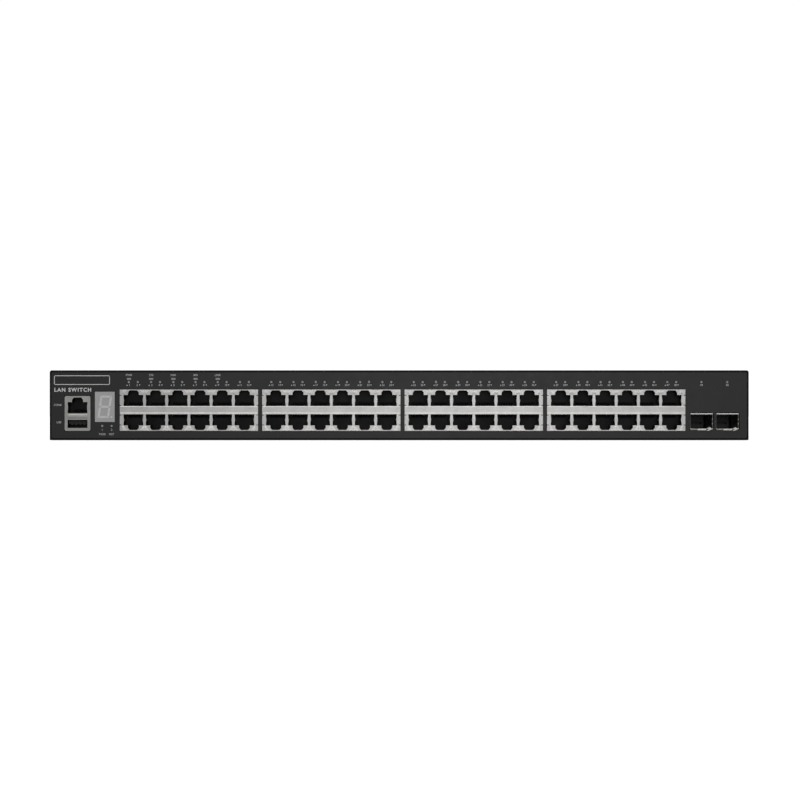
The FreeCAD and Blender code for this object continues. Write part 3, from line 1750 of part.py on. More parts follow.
def make_inlets():
    """The mains inlet with its three pins, and the backup power socket."""
    inlet = new_body("power_inlet", x="inlet_x", z="inlet_height")
    drawn = sketch(inlet, "XZ", REAR)
    centred(drawn, "0", "0", "inlet_flange", "inlet_flange_height")
    pad(inlet, drawn, "inlet_flange_thick", back=True)
    dress(inlet, "Fillet", "4 * bend", lambda e: along(e, "Y"))
    drawn = sketch(inlet, "XZ", REAR)
    centred(drawn, "0", "0", "inlet_body", "inlet_body_height")
    pad(inlet, drawn, "inlet_body_depth")
    # the mouth, with its two lower corners cut off
    half, tall = "(inlet_mouth / 2)", "(inlet_mouth_height / 2)"
    drawn = sketch(inlet, "XZ", f"{REAR} + inlet_flange_thick")
    outline(
        drawn,
        [
            (f"-{half}", tall),
            (f"-{half}", f"inlet_chamfer - {tall}"),
            (f"inlet_chamfer - {half}", f"-{tall}"),
            (f"{half} - inlet_chamfer", f"-{tall}"),
            (half, f"inlet_chamfer - {tall}"),
            (half, tall),
        ],
    )
    pocket(inlet, drawn, "inlet_cavity", back=True)
    drawn = sketch(inlet, "XZ", REAR)
    for sign in (-1, 1):
        circle(drawn, f"{sign} * inlet_screw / 2", "0", "screw_hole")
    pocket(inlet, drawn, "inlet_flange_thick")

    pins = new_body("power_inlet_pins", x="inlet_x", z="inlet_height")
    deep = f"({REAR} + inlet_flange_thick - inlet_cavity)"
    drawn = sketch(pins, "XZ", deep)
    centred(drawn, "-pin_spacing", "-pin_drop", "pin_width", "pin_height")
    centred(drawn, "0", "pin_drop", "pin_width", "pin_height")
    centred(drawn, "pin_spacing", "-pin_drop", "pin_width", "pin_height")
    pad(pins, drawn, "pin_length", back=True)
    dress(
        pins,
        "Chamfer",
        "pin_width / 5",
        lambda e: e.BoundBox.YMin > value(f"{deep} + pin_length") - 1e-4,
    )

    backup = new_body("backup_power_socket", x="backup_x", z="backup_height")
    drawn = sketch(backup, "XZ", f"{REAR} + backup_proud")
    centred(drawn, "0", "0", "backup_width", "backup_tall")
    pad(backup, drawn, "backup_depth")
    drawn = sketch(backup, "XZ", f"{REAR} + backup_proud")
    centred(
        drawn, "0", "0", "backup_width - 2 * backup_wall", "backup_tall - 2 * backup_wall"
    )
    pocket(backup, drawn, "backup_cavity", back=True)
    drawn = sketch(backup, "XZ", f"{REAR} + backup_proud - backup_cavity")
    for rise in (-1, 1):
        centred(
            drawn,
            "-(backup_pin_count - 1) / 2 * backup_pin_pitch",
            f"{rise} * backup_pin_pitch / 2",
            "backup_pin",
            "backup_pin",
        )
    pin = pad(backup, drawn, "backup_cavity - sheet", back=True)
    repeat(backup, [pin], ("X", "backup_pin_pitch", value("backup_pin_count")))


# ---------------------------------------------------------------- fans


def make_fan(number):
    """One 40 mm fan: a frame with bearing tube and stator, and a rotor with blades and shaft.
    Both are drawn with the fan's axis along Y, and y = 0 at the face that meets the guard."""
    place = {
        "x": f"fan_first + {number} * fan_pitch",
        "y": f"{REAR_INSIDE} - guard - lap",
        "z": "fan_height",
    }
    frame = new_body(f"fan_{number + 1}_frame", **place)
    drawn = sketch(frame, "XZ")
    centred(drawn, "0", "0", "fan_size", "fan_size")
    circle(drawn, "0", "0", "fan_bore")
    pad(frame, drawn, "fan_depth")
    dress(
        frame,
        "Fillet",
        "corner_round",
        lambda e: along(e, "Y") and abs(abs(e.BoundBox.XMax) - value("fan_size / 2")) < 1e-3,
    )
    drawn = sketch(frame, "XZ", "-fan_depth")
    for across in (-1, 1):
        for rise in (-1, 1):
            circle(drawn, f"{across} * fan_hole_pitch / 2", f"{rise} * fan_hole_pitch / 2", "fan_hole")
    pocket(frame, drawn, "fan_depth")
    # motor floor on three spokes, at the inner face
    drawn = sketch(frame, "XZ", "-fan_depth")
    circle(drawn, "0", "0", "hub")
    circle(drawn, "0", "0", "shaft + shaft_slack")
    pad(frame, drawn, "spoke_thick", back=True)
    drawn = sketch(frame, "XZ", "-fan_depth")
    rectangle(drawn, "hub - overlap", "fan_bore + overlap", "-spoke / 2", "spoke / 2")
    spoke = pad(frame, drawn, "spoke_thick", back=True)
    around(frame, [spoke], "Y", SPOKES)
    drawn = sketch(frame, "XZ", "spoke_thick - fan_depth")
    circle(drawn, "0", "0", "bearing")
    circle(drawn, "0", "0", "shaft + shaft_slack")
    pad(frame, drawn, "hub_length - fan_floor - hub_wall", back=True)
    drawn = sketch(frame, "XZ", "spoke_thick - fan_depth")
    circle(drawn, "0", "0", "stator")
    circle(drawn, "0", "0", "bearing")
    pad(frame, drawn, "hub_length - 2 * fan_floor", back=True)

    rotor = new_body(f"fan_{number + 1}_rotor", **place)
    back = "(-hub_back)"
    front = f"({back} - hub_length)"
    end = f"({front} - shaft_reach)"
    drawn = sketch(rotor, "YZ")
    outline(
        drawn,
        [
            (end, "0"),
            (back, "0"),
            (back, "hub - hub_edge"),
            (f"{back} - hub_edge", "hub"),
            (front, "hub"),
            (front, "hub - hub_wall"),
            (f"{back} - hub_end", "hub - hub_wall"),
            (f"{back} - hub_end", "shaft"),
            (end, "shaft"),
        ],
    )
    revolution(rotor, drawn, "Y")
    middle = f"(({front} + {back}) / 2)"
    sections = []
    for reach, half in (("blade_root", "blade_root_half"), ("blade_tip", "blade_tip_half")):
        drawn = sketch(rotor, "YZ", reach)
        outline(
            drawn,
            [
                (f"{middle} - blade_axial", f"-{half}"),
                (f"{middle} - blade_axial + blade_thick", f"-{half} - blade_thick / 4"),
                (f"{middle} + blade_belly + blade_thick / 2", "-blade_thick / 3"),
                (f"{middle} + blade_axial", f"{half} - blade_thick / 2"),
                (f"{middle} + blade_axial - blade_thick / 2", half),
                (f"{middle} + blade_belly - blade_thick / 2", "blade_thick / 3"),
            ],
        )
        sections.append(drawn)
    blade = rotor.newObject("PartDesign::AdditiveLoft", "Blade")
    blade.Profile = sections[0]
    blade.Sections = sections[1:]
    blade.Ruled = True
    doc.recompute()
    around(rotor, [blade], "Y", BLADES)


def make_guards():
    """Stamped finger guards between the fans and the rear wall, in one node."""
    body = new_body("fan_guards", x="fan_first", y=REAR_INSIDE, z="fan_height")
    drawn = sketch(body, "XZ")
    centred(drawn, "0", "0", "fan_size", "fan_size")
    circle(drawn, "0", "0", "fan_bore")
    for across in (-1, 1):
        for rise in (-1, 1):
            circle(drawn, f"{across} * fan_hole_pitch / 2", f"{rise} * fan_hole_pitch / 2", "fan_hole")
    made = [pad(body, drawn, "guard")]
    drawn = sketch(body, "XZ")
    circle(drawn, "0", "0", "guard_centre")
    for ring in range(int(value("guard_rings"))):
        for side in ("-", "+"):
            circle(drawn, "0", "0", f"guard_first + {ring} * guard_step {side} guard_ring")
    made.append(pad(body, drawn, "guard"))
    span, bar = "2 * (fan_bore + overlap)", "2 * guard_ring"
    for wide, tall in ((span, bar), (bar, span)):
        drawn = sketch(body, "XZ")
        centred(drawn, "0", "0", wide, tall)
        made.append(pad(body, drawn, "guard"))
    repeat(body, made, ("X", "fan_pitch", FANS))


# ---------------------------------------------------------------- cables


def cable(points, radius, bend):
    """A round cable through the points, straight between tangent arcs of the bend radius."""
    spots = [Vector(*(value(part) for part in point)) for point in points]
    edges_made = []
    start = spots[0]
    for number in range(1, len(spots) - 1):
        corner = spots[number]
        into = (corner - spots[number - 1]).normalize()
        out = (spots[number + 1] - corner).normalize()
        half_turn = into.getAngle(out) / 2
        back = bend * math.tan(half_turn)
        first = corner - into * back
        last = corner + out * back
        middle = corner + (out - into).normalize() * bend * (1 / math.cos(half_turn) - 1)
        edges_made.append(Part.LineSegment(start, first).toShape())
        edges_made.append(Part.Arc(first, middle, last).toShape())
        start = last
    edges_made.append(Part.LineSegment(start, spots[-1]).toShape())
    path = Part.Wire(edges_made)
    ring = Part.Wire(Part.Circle(spots[0], spots[1] - spots[0], radius).toShape())
    return path.makePipeShell([ring], True, True)


def cable_node(label, routes, radius):
    """A node of separate cables, one along each route."""
    node = doc.addObject("Part::Feature", label)
    node.Label = label
    bend = value("wire_bend")
    node.Shape = Part.makeCompound([cable(route, radius, bend) for route in routes])
    NODES.append(node)


def make_cables():
    """The supply's output wires to the board, and the fans' leads."""
    board_back = "board_front + board_depth"
    routes = []
    for number in range(WIRES):
        x = f"supply_x + harness_x + {number} * wire_spread"
        routes.append(
            [
                (x, "supply_front + harness_start", SUPPLY_TOP),
                (x, "supply_front + harness_start", f"{SUPPLY_TOP} + harness_rise"),
                (x, f"{board_back} - harness_end", f"{SUPPLY_TOP} + harness_rise"),
                (x, f"{board_back} - harness_end", "board_top"),
            ]
        )
    cable_node("power_harness", routes, value("wire"))

    face = f"({REAR_INSIDE} - guard - lap - fan_depth)"
    routes = []
    for number in range(FANS):
        for side in (0, 1):
            x = f"fan_first + {number} * fan_pitch + lead_x + {side} * wire_spread"
            routes.append(
                [
                    (x, face, "fan_height - lead_drop"),
                    (x, f"{face} - lead_low_run", "fan_height - lead_drop"),
                    (x, f"{face} - lead_high_run", "fan_height - lead_level"),
                    (x, f"{board_back} - lead_end", "fan_height - lead_level"),
                    (x, f"{board_back} - lead_end", "board_top"),
                ]
            )
    cable_node("fan_leads", routes, value("wire / 2"))


# ---------------------------------------------------------------- build


def check_and_write():
    """Refuses a failed object or shape, then writes each node's STEP file."""
    doc.recompute()
    failed = [o.Label for o in doc.Objects if {"Invalid", "Error"} & set(o.State)]
    if failed:
        raise ValueError(f"failed objects: {failed}")
    os.makedirs("parts", exist_ok=True)
    shapes = [(node.Label, node.Shape) for node in NODES]
    broken = [name for name, shape in shapes if shape.isNull() or not shape.isValid() or not shape.Solids]
    if broken:
        raise ValueError(f"no valid solid in {broken}")
    for node in NODES:
        node.Shape.exportStep(f"parts/{node.Label}.step")
        print(f"{node.Label}: {len(node.Shape.Solids)} solids, {node.Shape.Volume:.1f} mm3")


flat_screw, pan_screw = make_screws()
make_chassis()
make_front_panel()
make_overlay()
make_cover()
make_rear_pieces(flat_screw, pan_screw)
for block_number in range(BLOCKS):
    make_block(block_number)
make_console()
for cage_number in range(CAGES):
    make_cage(cage_number)
make_sfp_sockets()
make_display()
make_nameplate()
make_light_pipes()
make_board()
make_chips()
make_heatsinks()
make_expansion_socket()
make_supply()
make_inlets()
for fan_number in range(FANS):
    make_fan(fan_number)
make_guards()
make_cables()
check_and_write()
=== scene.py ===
import json
import math

import bmesh
import bpy
from mathutils import Matrix, Vector


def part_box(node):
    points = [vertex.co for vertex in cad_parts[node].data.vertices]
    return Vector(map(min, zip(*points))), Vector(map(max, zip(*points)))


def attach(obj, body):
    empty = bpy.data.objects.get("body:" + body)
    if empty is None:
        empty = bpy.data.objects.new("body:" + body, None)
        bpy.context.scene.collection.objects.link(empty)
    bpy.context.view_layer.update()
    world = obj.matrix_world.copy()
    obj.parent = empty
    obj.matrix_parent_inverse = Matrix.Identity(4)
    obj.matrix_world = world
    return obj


# Rackmount network switch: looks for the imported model. Metres, +Z up, +Y to the back.

MM = 0.001
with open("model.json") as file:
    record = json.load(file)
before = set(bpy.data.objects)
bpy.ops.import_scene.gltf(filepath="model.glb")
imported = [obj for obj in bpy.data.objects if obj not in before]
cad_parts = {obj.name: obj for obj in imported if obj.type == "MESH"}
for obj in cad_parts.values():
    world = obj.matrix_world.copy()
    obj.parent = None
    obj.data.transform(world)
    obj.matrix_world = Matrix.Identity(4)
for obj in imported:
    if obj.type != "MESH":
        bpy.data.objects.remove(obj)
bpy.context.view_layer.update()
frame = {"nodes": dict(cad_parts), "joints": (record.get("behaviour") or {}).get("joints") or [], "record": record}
NODES = frame["nodes"]
BLOCKS = 4
COLUMNS = 6
CAGES = 2

FILM_LOW, FILM_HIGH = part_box("front_overlay")
FRONT = FILM_LOW.y
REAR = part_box("chassis_base")[1].y
INK = 0.012 * MM


# ---------------------------------------------------------------- materials

# the colour sockets of a mix node, whose names are shared with its number and vector sockets
MIX_FIRST = 6
MIX_SECOND = 7
MIX_RESULT = 2
# how a noise's coordinates are scaled: one squeezed along Z looks like sheet drawn across it
EVEN = (1, 1, 1)
DRAWN = (1, 1, 6)


def link(tree, source, target):
    tree.links.new(source, target)


def node(tree, kind, **inputs):
    """A shader node with some of its input values set by name, with _ for a space."""
    made = tree.nodes.new(kind)
    for name, value in inputs.items():
        made.inputs[name.replace("_", " ")].default_value = value
    return made


def material(name):
    """A new material with an empty tree, its principled shader and its output."""
    made = bpy.data.materials.new(name)
    made.use_nodes = True
    tree = made.node_tree
    tree.nodes.clear()
    shader = node(tree, "ShaderNodeBsdfPrincipled")
    output = node(tree, "ShaderNodeOutputMaterial")
    link(tree, shader.outputs["BSDF"], output.inputs["Surface"])
    return made, tree, shader


def coordinates(tree, stretch=EVEN):
    """Object coordinates in metres, scaled along each axis."""
    place = node(tree, "ShaderNodeTexCoord")
    mapping = node(tree, "ShaderNodeMapping", Scale=stretch)
    link(tree, place.outputs["Object"], mapping.inputs["Vector"])
    return mapping.outputs["Vector"]


def noise(tree, where, scale, detail=3.0, roughness=0.55):
    made = node(tree, "ShaderNodeTexNoise", Scale=scale, Detail=detail, Roughness=roughness)
    link(tree, where, made.inputs["Vector"])
    return made.outputs["Fac"]


def spread(tree, factor, low, high, start=0.3, end=0.7):
    """The factor from start to end turned into a number from low to high."""
    made = node(tree, "ShaderNodeMapRange")
    made.inputs["From Min"].default_value = start
    made.inputs["From Max"].default_value = end
    made.inputs["To Min"].default_value = low
    made.inputs["To Max"].default_value = high
    link(tree, factor, made.inputs["Value"])
    return made.outputs["Result"]


def tint(tree, factor, dark, light):
    """A colour between two colours."""
    made = tree.nodes.new("ShaderNodeValToRGB")
    made.color_ramp.elements[0].position = 0.3
    made.color_ramp.elements[1].position = 0.7
    made.color_ramp.elements[0].color = (*dark, 1)
    made.color_ramp.elements[1].color = (*light, 1)
    link(tree, factor, made.inputs["Fac"])
    return made.outputs["Color"]


def bump(tree, shader, height, depth):
    """Relief that is `depth` metres deep."""
    made = node(tree, "ShaderNodeBump", Strength=1.0, Distance=depth)
    link(tree, height, made.inputs["Height"])
    link(tree, made.outputs["Normal"], shader.inputs["Normal"])


def scaled(colour, factor):
    return tuple(min(1.0, part * factor) for part in colour)


def dulled(tree, colour, shade_start, depth_shade, reach):
    """Painted shade inside the front openings: the colour falls to a share of itself between two given depths, in
    metres, behind the front face.
    """
    place = node(tree, "ShaderNodeTexCoord")
    axes = node(tree, "ShaderNodeSeparateXYZ")
    link(tree, place.outputs["Object"], axes.inputs["Vector"])
    share = spread(tree, axes.outputs["Y"], 1.0, depth_shade, FRONT + shade_start, FRONT + reach)
    depth_shaded = node(tree, "ShaderNodeMix")
    depth_shaded.data_type = "RGBA"
    depth_shaded.blend_type = "MULTIPLY"
    depth_shaded.inputs["Factor"].default_value = 1.0
    link(tree, colour, depth_shaded.inputs[MIX_FIRST])
    link(tree, share, depth_shaded.inputs[MIX_SECOND])
    return depth_shaded.outputs[MIX_RESULT]


def grainy(
    name, colour, rough, grain, depth, metal=0.0, vary=0.12, stretch=EVEN, coat=0.0, depth_shade=None
):
    """A surface whose colour, roughness and relief vary with a noise of `grain` cells a metre. Its optional
    painted shade inside a front opening holds the depth where the shade starts, the share of the colour
    that is left and the full depth."""
    made, tree, shader = material(name)
    where = coordinates(tree, stretch)
    fine = noise(tree, where, grain)
    broad = noise(tree, where, grain / 14, detail=5)
    shader.inputs["Metallic"].default_value = metal
    shader.inputs["Coat Weight"].default_value = coat
    shader.inputs["Coat Roughness"].default_value = 0.18
    tone = tint(tree, broad, scaled(colour, 1 - vary), scaled(colour, 1 + vary))
    # painted shade: the colour grows darker deeper inside a front opening
    if depth_shade:
        tone = dulled(tree, tone, *depth_shade)
    link(tree, tone, shader.inputs["Base Color"])
    link(tree, spread(tree, broad, rough * 0.88, rough * 1.12), shader.inputs["Roughness"])
    bump(tree, shader, fine, depth)
    return made


def powder_coat(name, colour, rough):
    """Satin powder coat: orange-peel relief, a fine speckle and faint handling marks."""
    made, tree, shader = material(name)
    where = coordinates(tree)
    peel = noise(tree, where, 1500, detail=2)
    haze = noise(tree, where, 22, detail=6, roughness=0.6)
    speck = noise(tree, where, 5200, detail=1)
    mixed = node(tree, "ShaderNodeMix")
    mixed.data_type = "RGBA"
    link(tree, spread(tree, speck, 0.0, 0.5, 0.56, 0.75), mixed.inputs["Factor"])
    tone = tint(tree, haze, scaled(colour, 0.95), scaled(colour, 1.05))
    link(tree, tone, mixed.inputs[MIX_FIRST])
    mixed.inputs[MIX_SECOND].default_value = (*scaled(colour, 1.9), 1)
    link(tree, mixed.outputs[MIX_RESULT], shader.inputs["Base Color"])
    link(tree, spread(tree, haze, rough - 0.02, rough + 0.03), shader.inputs["Roughness"])
    bump(tree, shader, peel, 0.02 * MM)
    return made


def plated(name, colour, rough, stretch, vary=0.06, depth_shade=None):
    """Rolled and plated sheet: fine drawn lines along one axis and a soft cloudy tone. The optional painted
    shade darkens what lies inside a front opening."""
    made, tree, shader = material(name)
    lines = noise(tree, coordinates(tree, stretch), 900, detail=4)
    cloud = noise(tree, coordinates(tree), 160, detail=3)
    shader.inputs["Metallic"].default_value = 1.0
    tone = tint(tree, cloud, scaled(colour, 1 - vary), scaled(colour, 1 + vary))
    # painted shade: the colour grows darker deeper inside a front opening
    if depth_shade:
        tone = dulled(tree, tone, *depth_shade)
    link(tree, tone, shader.inputs["Base Color"])
    link(tree, spread(tree, lines, rough * 0.8, rough * 1.25), shader.inputs["Roughness"])
    bump(tree, shader, lines, 0.006 * MM)
    return made


def board_finish(name):
    """Solder mask over copper: a green lacquer with a faint pattern of tracks under it."""
    made, tree, shader = material(name)
    where = coordinates(tree)
    cells = tree.nodes.new("ShaderNodeTexBrick")
    cells.inputs["Scale"].default_value = 260
    cells.inputs["Mortar Size"].default_value = 0.012
    cells.inputs["Color1"].default_value = (0.008, 0.07, 0.03, 1)
    cells.inputs["Color2"].default_value = (0.01, 0.085, 0.036, 1)
    cells.inputs["Mortar"].default_value = (0.03, 0.16, 0.07, 1)
    link(tree, where, cells.inputs["Vector"])
    link(tree, cells.outputs["Color"], shader.inputs["Base Color"])
    link(tree, spread(tree, noise(tree, where, 400), 0.25, 0.4), shader.inputs["Roughness"])
    bump(tree, shader, cells.outputs["Fac"], 0.03 * MM)
    return made


def clear_moulding(name, colour):
    """A frosted clear plastic, as light pipes and diffusers show when they are not lit."""
    made, tree, shader = material(name)
    rough = 0.3
    cloud = noise(tree, coordinates(tree), 900, detail=2)
    link(tree, tint(tree, cloud, scaled(colour, 0.94), scaled(colour, 1.06)), shader.inputs["Base Color"])
    link(tree, spread(tree, cloud, rough * 0.85, rough * 1.2), shader.inputs["Roughness"])
    shader.inputs["Subsurface Weight"].default_value = 0.25
    shader.inputs["Subsurface Radius"].default_value = (MM, MM, MM)
    bump(tree, shader, cloud, 0.004 * MM)
    return made


def make_finishes():
    """One finish for each material slot of the record."""
    return {
        "black_paint": powder_coat("black_paint_finish", (0.0145, 0.0147, 0.0155), 0.5),
        "black_film": grainy(
            "black_film_finish", (0.0135, 0.0137, 0.0145), 0.38, 2600, 0.008 * MM, vary=0.1
        ),
        "black_screw": grainy("black_screw_finish", (0.03, 0.03, 0.032), 0.4, 900, 0.006 * MM, metal=0.7),
        "zinc_screw": plated("zinc_screw_finish", (0.58, 0.57, 0.53), 0.26, EVEN),
        "brass_screw": plated("brass_screw_finish", (0.72, 0.5, 0.2), 0.28, EVEN),
        "nickel_sheet": plated("nickel_sheet_finish", (0.64, 0.635, 0.62), 0.36, DRAWN),
        "black_moulding": grainy("black_moulding_finish", (0.006, 0.006, 0.0065), 0.42, 1200, 0.01 * MM),
        "gold_contact": grainy("gold_contact_finish", (0.75, 0.47, 0.2), 0.3, 900, 0.002 * MM, metal=1.0),
        "grey_lens": grainy("grey_lens_finish", (0.5, 0.5, 0.5), 0.34, 500, 0.004 * MM, vary=0.04),
        "segment_diffuser": clear_moulding("segment_finish", (0.72, 0.72, 0.72)),
        "light_pipe": clear_moulding("light_pipe_finish", (0.36, 0.365, 0.37)),
        "led_package": clear_moulding("led_package_finish", (0.7, 0.7, 0.6)),
        "circuit_board": board_finish("circuit_board_finish"),
        "chip_package": grainy("chip_package_finish", (0.012, 0.012, 0.013), 0.5, 3000, 0.006 * MM),
        "black_anodised": plated("black_anodised_finish", (0.035, 0.035, 0.038), 0.4, (1, 8, 1)),
        "bare_aluminium": plated("bare_aluminium_finish", (0.7, 0.7, 0.71), 0.35, (8, 1, 1)),
        "capacitor_can": plated("capacitor_can_finish", (0.66, 0.66, 0.68), 0.3, (1, 1, 4)),
        "capacitor_sleeve": grainy(
            "capacitor_sleeve_finish", (0.01, 0.012, 0.04), 0.3, 300, 0.02 * MM, coat=0.4
        ),
        "transformer_tape": grainy(
            "transformer_tape_finish", (0.55, 0.38, 0.04), 0.36, 260, 0.03 * MM, stretch=(1, 1, 7)
        ),
        "nickel_pin": plated("nickel_pin_finish", (0.7, 0.68, 0.62), 0.22, (1, 0.2, 1)),
        "fan_plastic": grainy("fan_plastic_finish", (0.008, 0.008, 0.009), 0.38, 800, 0.01 * MM),
        "cable_jacket": grainy("cable_jacket_finish", (0.02, 0.02, 0.022), 0.4, 1400, 0.008 * MM),
    }


FINISH = make_finishes()
WHITE_INK = grainy("white_ink_finish", (0.8, 0.8, 0.8), 0.5, 4000, 0.002 * MM, vary=0.1)
GREY_INK = grainy("grey_ink_finish", (0.62, 0.62, 0.62), 0.5, 4000, 0.002 * MM, vary=0.1)
GASKET = plated("gasket_finish", (0.66, 0.65, 0.63), 0.26, (1, 6, 1))
# the shield's nickel made lighter: painted highlight on the pressed leaves and beads
HIGHLIGHT_NICKEL = plated("highlight_nickel_finish", (0.82, 0.81, 0.79), 0.38, DRAWN)
LABEL = grainy("hub_label_finish", (0.5, 0.5, 0.5), 0.35, 900, 0.003 * MM, metal=0.4)


def matt(made, level):
    """The material with its specular level turned down."""
    made.node_tree.nodes["Principled BSDF"].inputs["Specular IOR Level"].default_value = level
    return made


def make_front_finishes():
    """Finishes of nodes that differ from the rest of their slot: the panel's rim, darkened as painted shade
    along its edges, metal and contacts with painted shade inside the front openings, and the sockets' plastic."""
    # painted shade inside the jacks, the cages and on the contacts: depth where it starts, share of the colour
    # left, and depth where it is full
    jack_shade = (0.7 * MM, 0.1, 3 * MM)
    cage_shade = (-0.2 * MM, 0.3, 0.7 * MM)
    contact_shade = (3.4 * MM, 0.12, 7 * MM)
    gold = {"rough": 0.36, "grain": 900, "depth": 0.002 * MM, "metal": 1.0}
    black = {"rough": 0.5, "grain": 1200, "depth": 0.01 * MM}
    shield = plated("shield_finish", (0.63, 0.627, 0.618), 0.34, DRAWN, vary=0.06, depth_shade=jack_shade)
    cage = plated("cage_finish", (0.6, 0.595, 0.58), 0.34, DRAWN, depth_shade=cage_shade)
    moulding = matt(grainy("jack_finish", (0.006, 0.006, 0.0065), **black), 0.4)
    contacts = grainy("jack_contact_finish", (0.6, 0.36, 0.26), depth_shade=contact_shade, **gold)
    front = {
        # the rim's paint is much darker than the chassis paint: painted shade along the panel's edges
        "front_panel": matt(powder_coat("shaded_panel_rim_finish", (0.004, 0.004, 0.0045), 0.6), 0.2),
        "console_usb_shield": plated(
            "console_finish", (0.5, 0.495, 0.48), 0.34, DRAWN, vary=0.08, depth_shade=jack_shade
        ),
        "console_usb_housing": moulding,
        # the USB contacts are darkened: painted shade deep inside the socket
        "console_usb_contacts": grainy("shaded_usb_contact_finish", (0.24, 0.21, 0.18), **gold),
        "sfp_sockets": grainy("sfp_socket_finish", (0.12, 0.12, 0.125), **black),
    }
    for cage_number in range(CAGES):
        front[f"sfp_cage_{cage_number + 1}"] = cage
    for block in range(BLOCKS):
        front[f"port_block_{block + 1}_shield"] = shield
        front[f"port_block_{block + 1}_jacks"] = moulding
        front[f"port_block_{block + 1}_contacts"] = contacts
    return front


FRONT_FINISH = make_front_finishes()


def finish_cad_nodes():
    """Gives each CAD node its own finish, or else the finish of its slot."""
    for part in frame["record"]["subparts"]:
        mesh = NODES[part["node"]].data
        mesh.materials.clear()
        mesh.materials.append(FRONT_FINISH.get(part["node"], FINISH[part["material_slot"]]))


# ---------------------------------------------------------------- mesh helpers


def add_box(bm, low, high):
    """A closed box between two corners."""
    spots = [
        bm.verts.new((x, y, z))
        for x in (low[0], high[0])
        for y in (low[1], high[1])
        for z in (low[2], high[2])
    ]
    for ring in ((0, 1, 3, 2), (4, 6, 7, 5), (0, 4, 5, 1), (2, 3, 7, 6), (0, 2, 6, 4), (1, 5, 7, 3)):
        bm.faces.new([spots[n] for n in ring])


def add_prism(bm, outline, place, depth):
    """A closed prism: place turns an outline point (a, b) and a depth into x, y, z."""
    near = [bm.verts.new(place(a, b, 0.0)) for a, b in outline]
    far = [bm.verts.new(place(a, b, depth)) for a, b in outline]
    bm.faces.new(near)
    bm.faces.new(list(reversed(far)))
    for number in range(len(outline)):
        following = (number + 1) % len(outline)
        bm.faces.new([near[following], near[number], far[number], far[following]])


def add_skin(bm, rows):
    """One closed solid round rows of four corners each."""
    for first, second in zip(rows, rows[1:]):
        for corner in range(4):
            following = (corner + 1) % 4
            bm.faces.new([first[corner], first[following], second[following], second[corner]])
    bm.faces.new(list(reversed(rows[0])))
    bm.faces.new(rows[-1])


def add_strip(bm, line, low, high, thickness):
    """A ribbon from low to high along Z that follows a line of (x, y) points, with real thickness."""
    rows = []
    for number, (x, y) in enumerate(line):
        before = Vector(line[max(0, number - 1)])
        after = Vector(line[min(len(line) - 1, number + 1)])
        along = (after - before).normalized()
        side = Vector((-along.y, along.x)) * thickness / 2
        rows.append(
            [
                bm.verts.new((x - side.x, y - side.y, low)),
                bm.verts.new((x + side.x, y + side.y, low)),
                bm.verts.new((x + side.x, y + side.y, high)),
                bm.verts.new((x - side.x, y - side.y, high)),
            ]
        )
    add_skin(bm, rows)


def facing(y):
    """Places a prism's outline (x, z) at y, with its depth towards the back."""
    return lambda a, b, depth: (a, y + depth, b)


def across(x):
    """Places a prism's outline (y, z) at x, with its depth to the right."""
    return lambda a, b, depth: (x + depth, a, b)


def half_round(y, z, out, radius, steps):
    """Outline (y, z) of a low bead: from z - radius to z + radius, and `out` in front of y between."""
    turns = [math.pi * step / steps for step in range(steps + 1)]
    return [(y - out * math.sin(turn), z - radius * math.cos(turn)) for turn in turns]


def finished(name, bm, finish, body="chassis", bevel=0.0):
    """The mesh as a piece that rides on a body."""
    bmesh.ops.recalc_face_normals(bm, faces=bm.faces[:])
    mesh = bpy.data.meshes.new(name)
    bm.to_mesh(mesh)
    bm.free()
    piece = bpy.data.objects.new(name, mesh)
    bpy.context.scene.collection.objects.link(piece)
    piece.data.materials.append(finish)
    if bevel:
        edge = piece.modifiers.new("edge", "BEVEL")
        edge.width = bevel
        edge.segments = 2
        edge.limit_method = "ANGLE"
    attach(piece, body)
    return piece


# a capital's height as a share of the font's size
CAPITAL = 0.7


def printed(name, words, finish, rear=False, bold=0.012, spacing=1.0):
    """Ink on the front film, or on the rear wall: words are (text, x, z, letter height)."""
    bm = bmesh.new()
    plane = REAR + INK if rear else FRONT - INK
    turn = Matrix.Rotation(math.radians(90), 4, "X")
    if rear:
        turn = Matrix.Rotation(math.radians(180), 4, "Z") @ turn
    for text, x, z, tall in words:
        curve = bpy.data.curves.new("letters", "FONT")
        curve.body = text
        curve.size = tall / CAPITAL
        curve.align_x = "CENTER"
        curve.align_y = "CENTER"
        curve.resolution_u = 3
        curve.extrude = INK / 2
        curve.offset = tall * bold
        curve.space_character = spacing
        letters = bpy.data.objects.new("letters", curve)
        mesh = bpy.data.meshes.new_from_object(letters)
        mesh.transform(Matrix.Translation((x, plane, z)) @ turn)
        bm.from_mesh(mesh)
        bpy.data.objects.remove(letters)
        bpy.data.curves.remove(curve)
        bpy.data.meshes.remove(mesh)
    return finished(name, bm, finish)


# ---------------------------------------------------------------- places read from the frame


def block_box(block):
    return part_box(f"port_block_{block + 1}_shield")


# sizes that the CAD gives the jacks and the lamps
PITCH = 13.97 * MM
NOTCH_WIDTH = 6.9 * MM
LAMP_SPACING = 5.6 * MM
LAMP_RADIUS = 0.65 * MM
LAMP_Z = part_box("port_light_pipes")[1].z - LAMP_RADIUS
# a port block without the spring fingers on its top
BLOCK_HEIGHT = 26 * MM
BLOCK_LOW = block_box(0)[0]
BLOCK_MIDDLE = BLOCK_LOW.z + BLOCK_HEIGHT / 2
SHIELD_FACE = BLOCK_LOW.y
# a jack's opening: its nearer edge above or below the block's middle, half its width, and its height
PORT_RISE = 2.6 * MM
PORT_HALF = 6.2 * MM
PORT_TALL = 7.0 * MM
# how deep the root of an added bead or leaf is sunk into the sheet
ROOT = 0.02 * MM


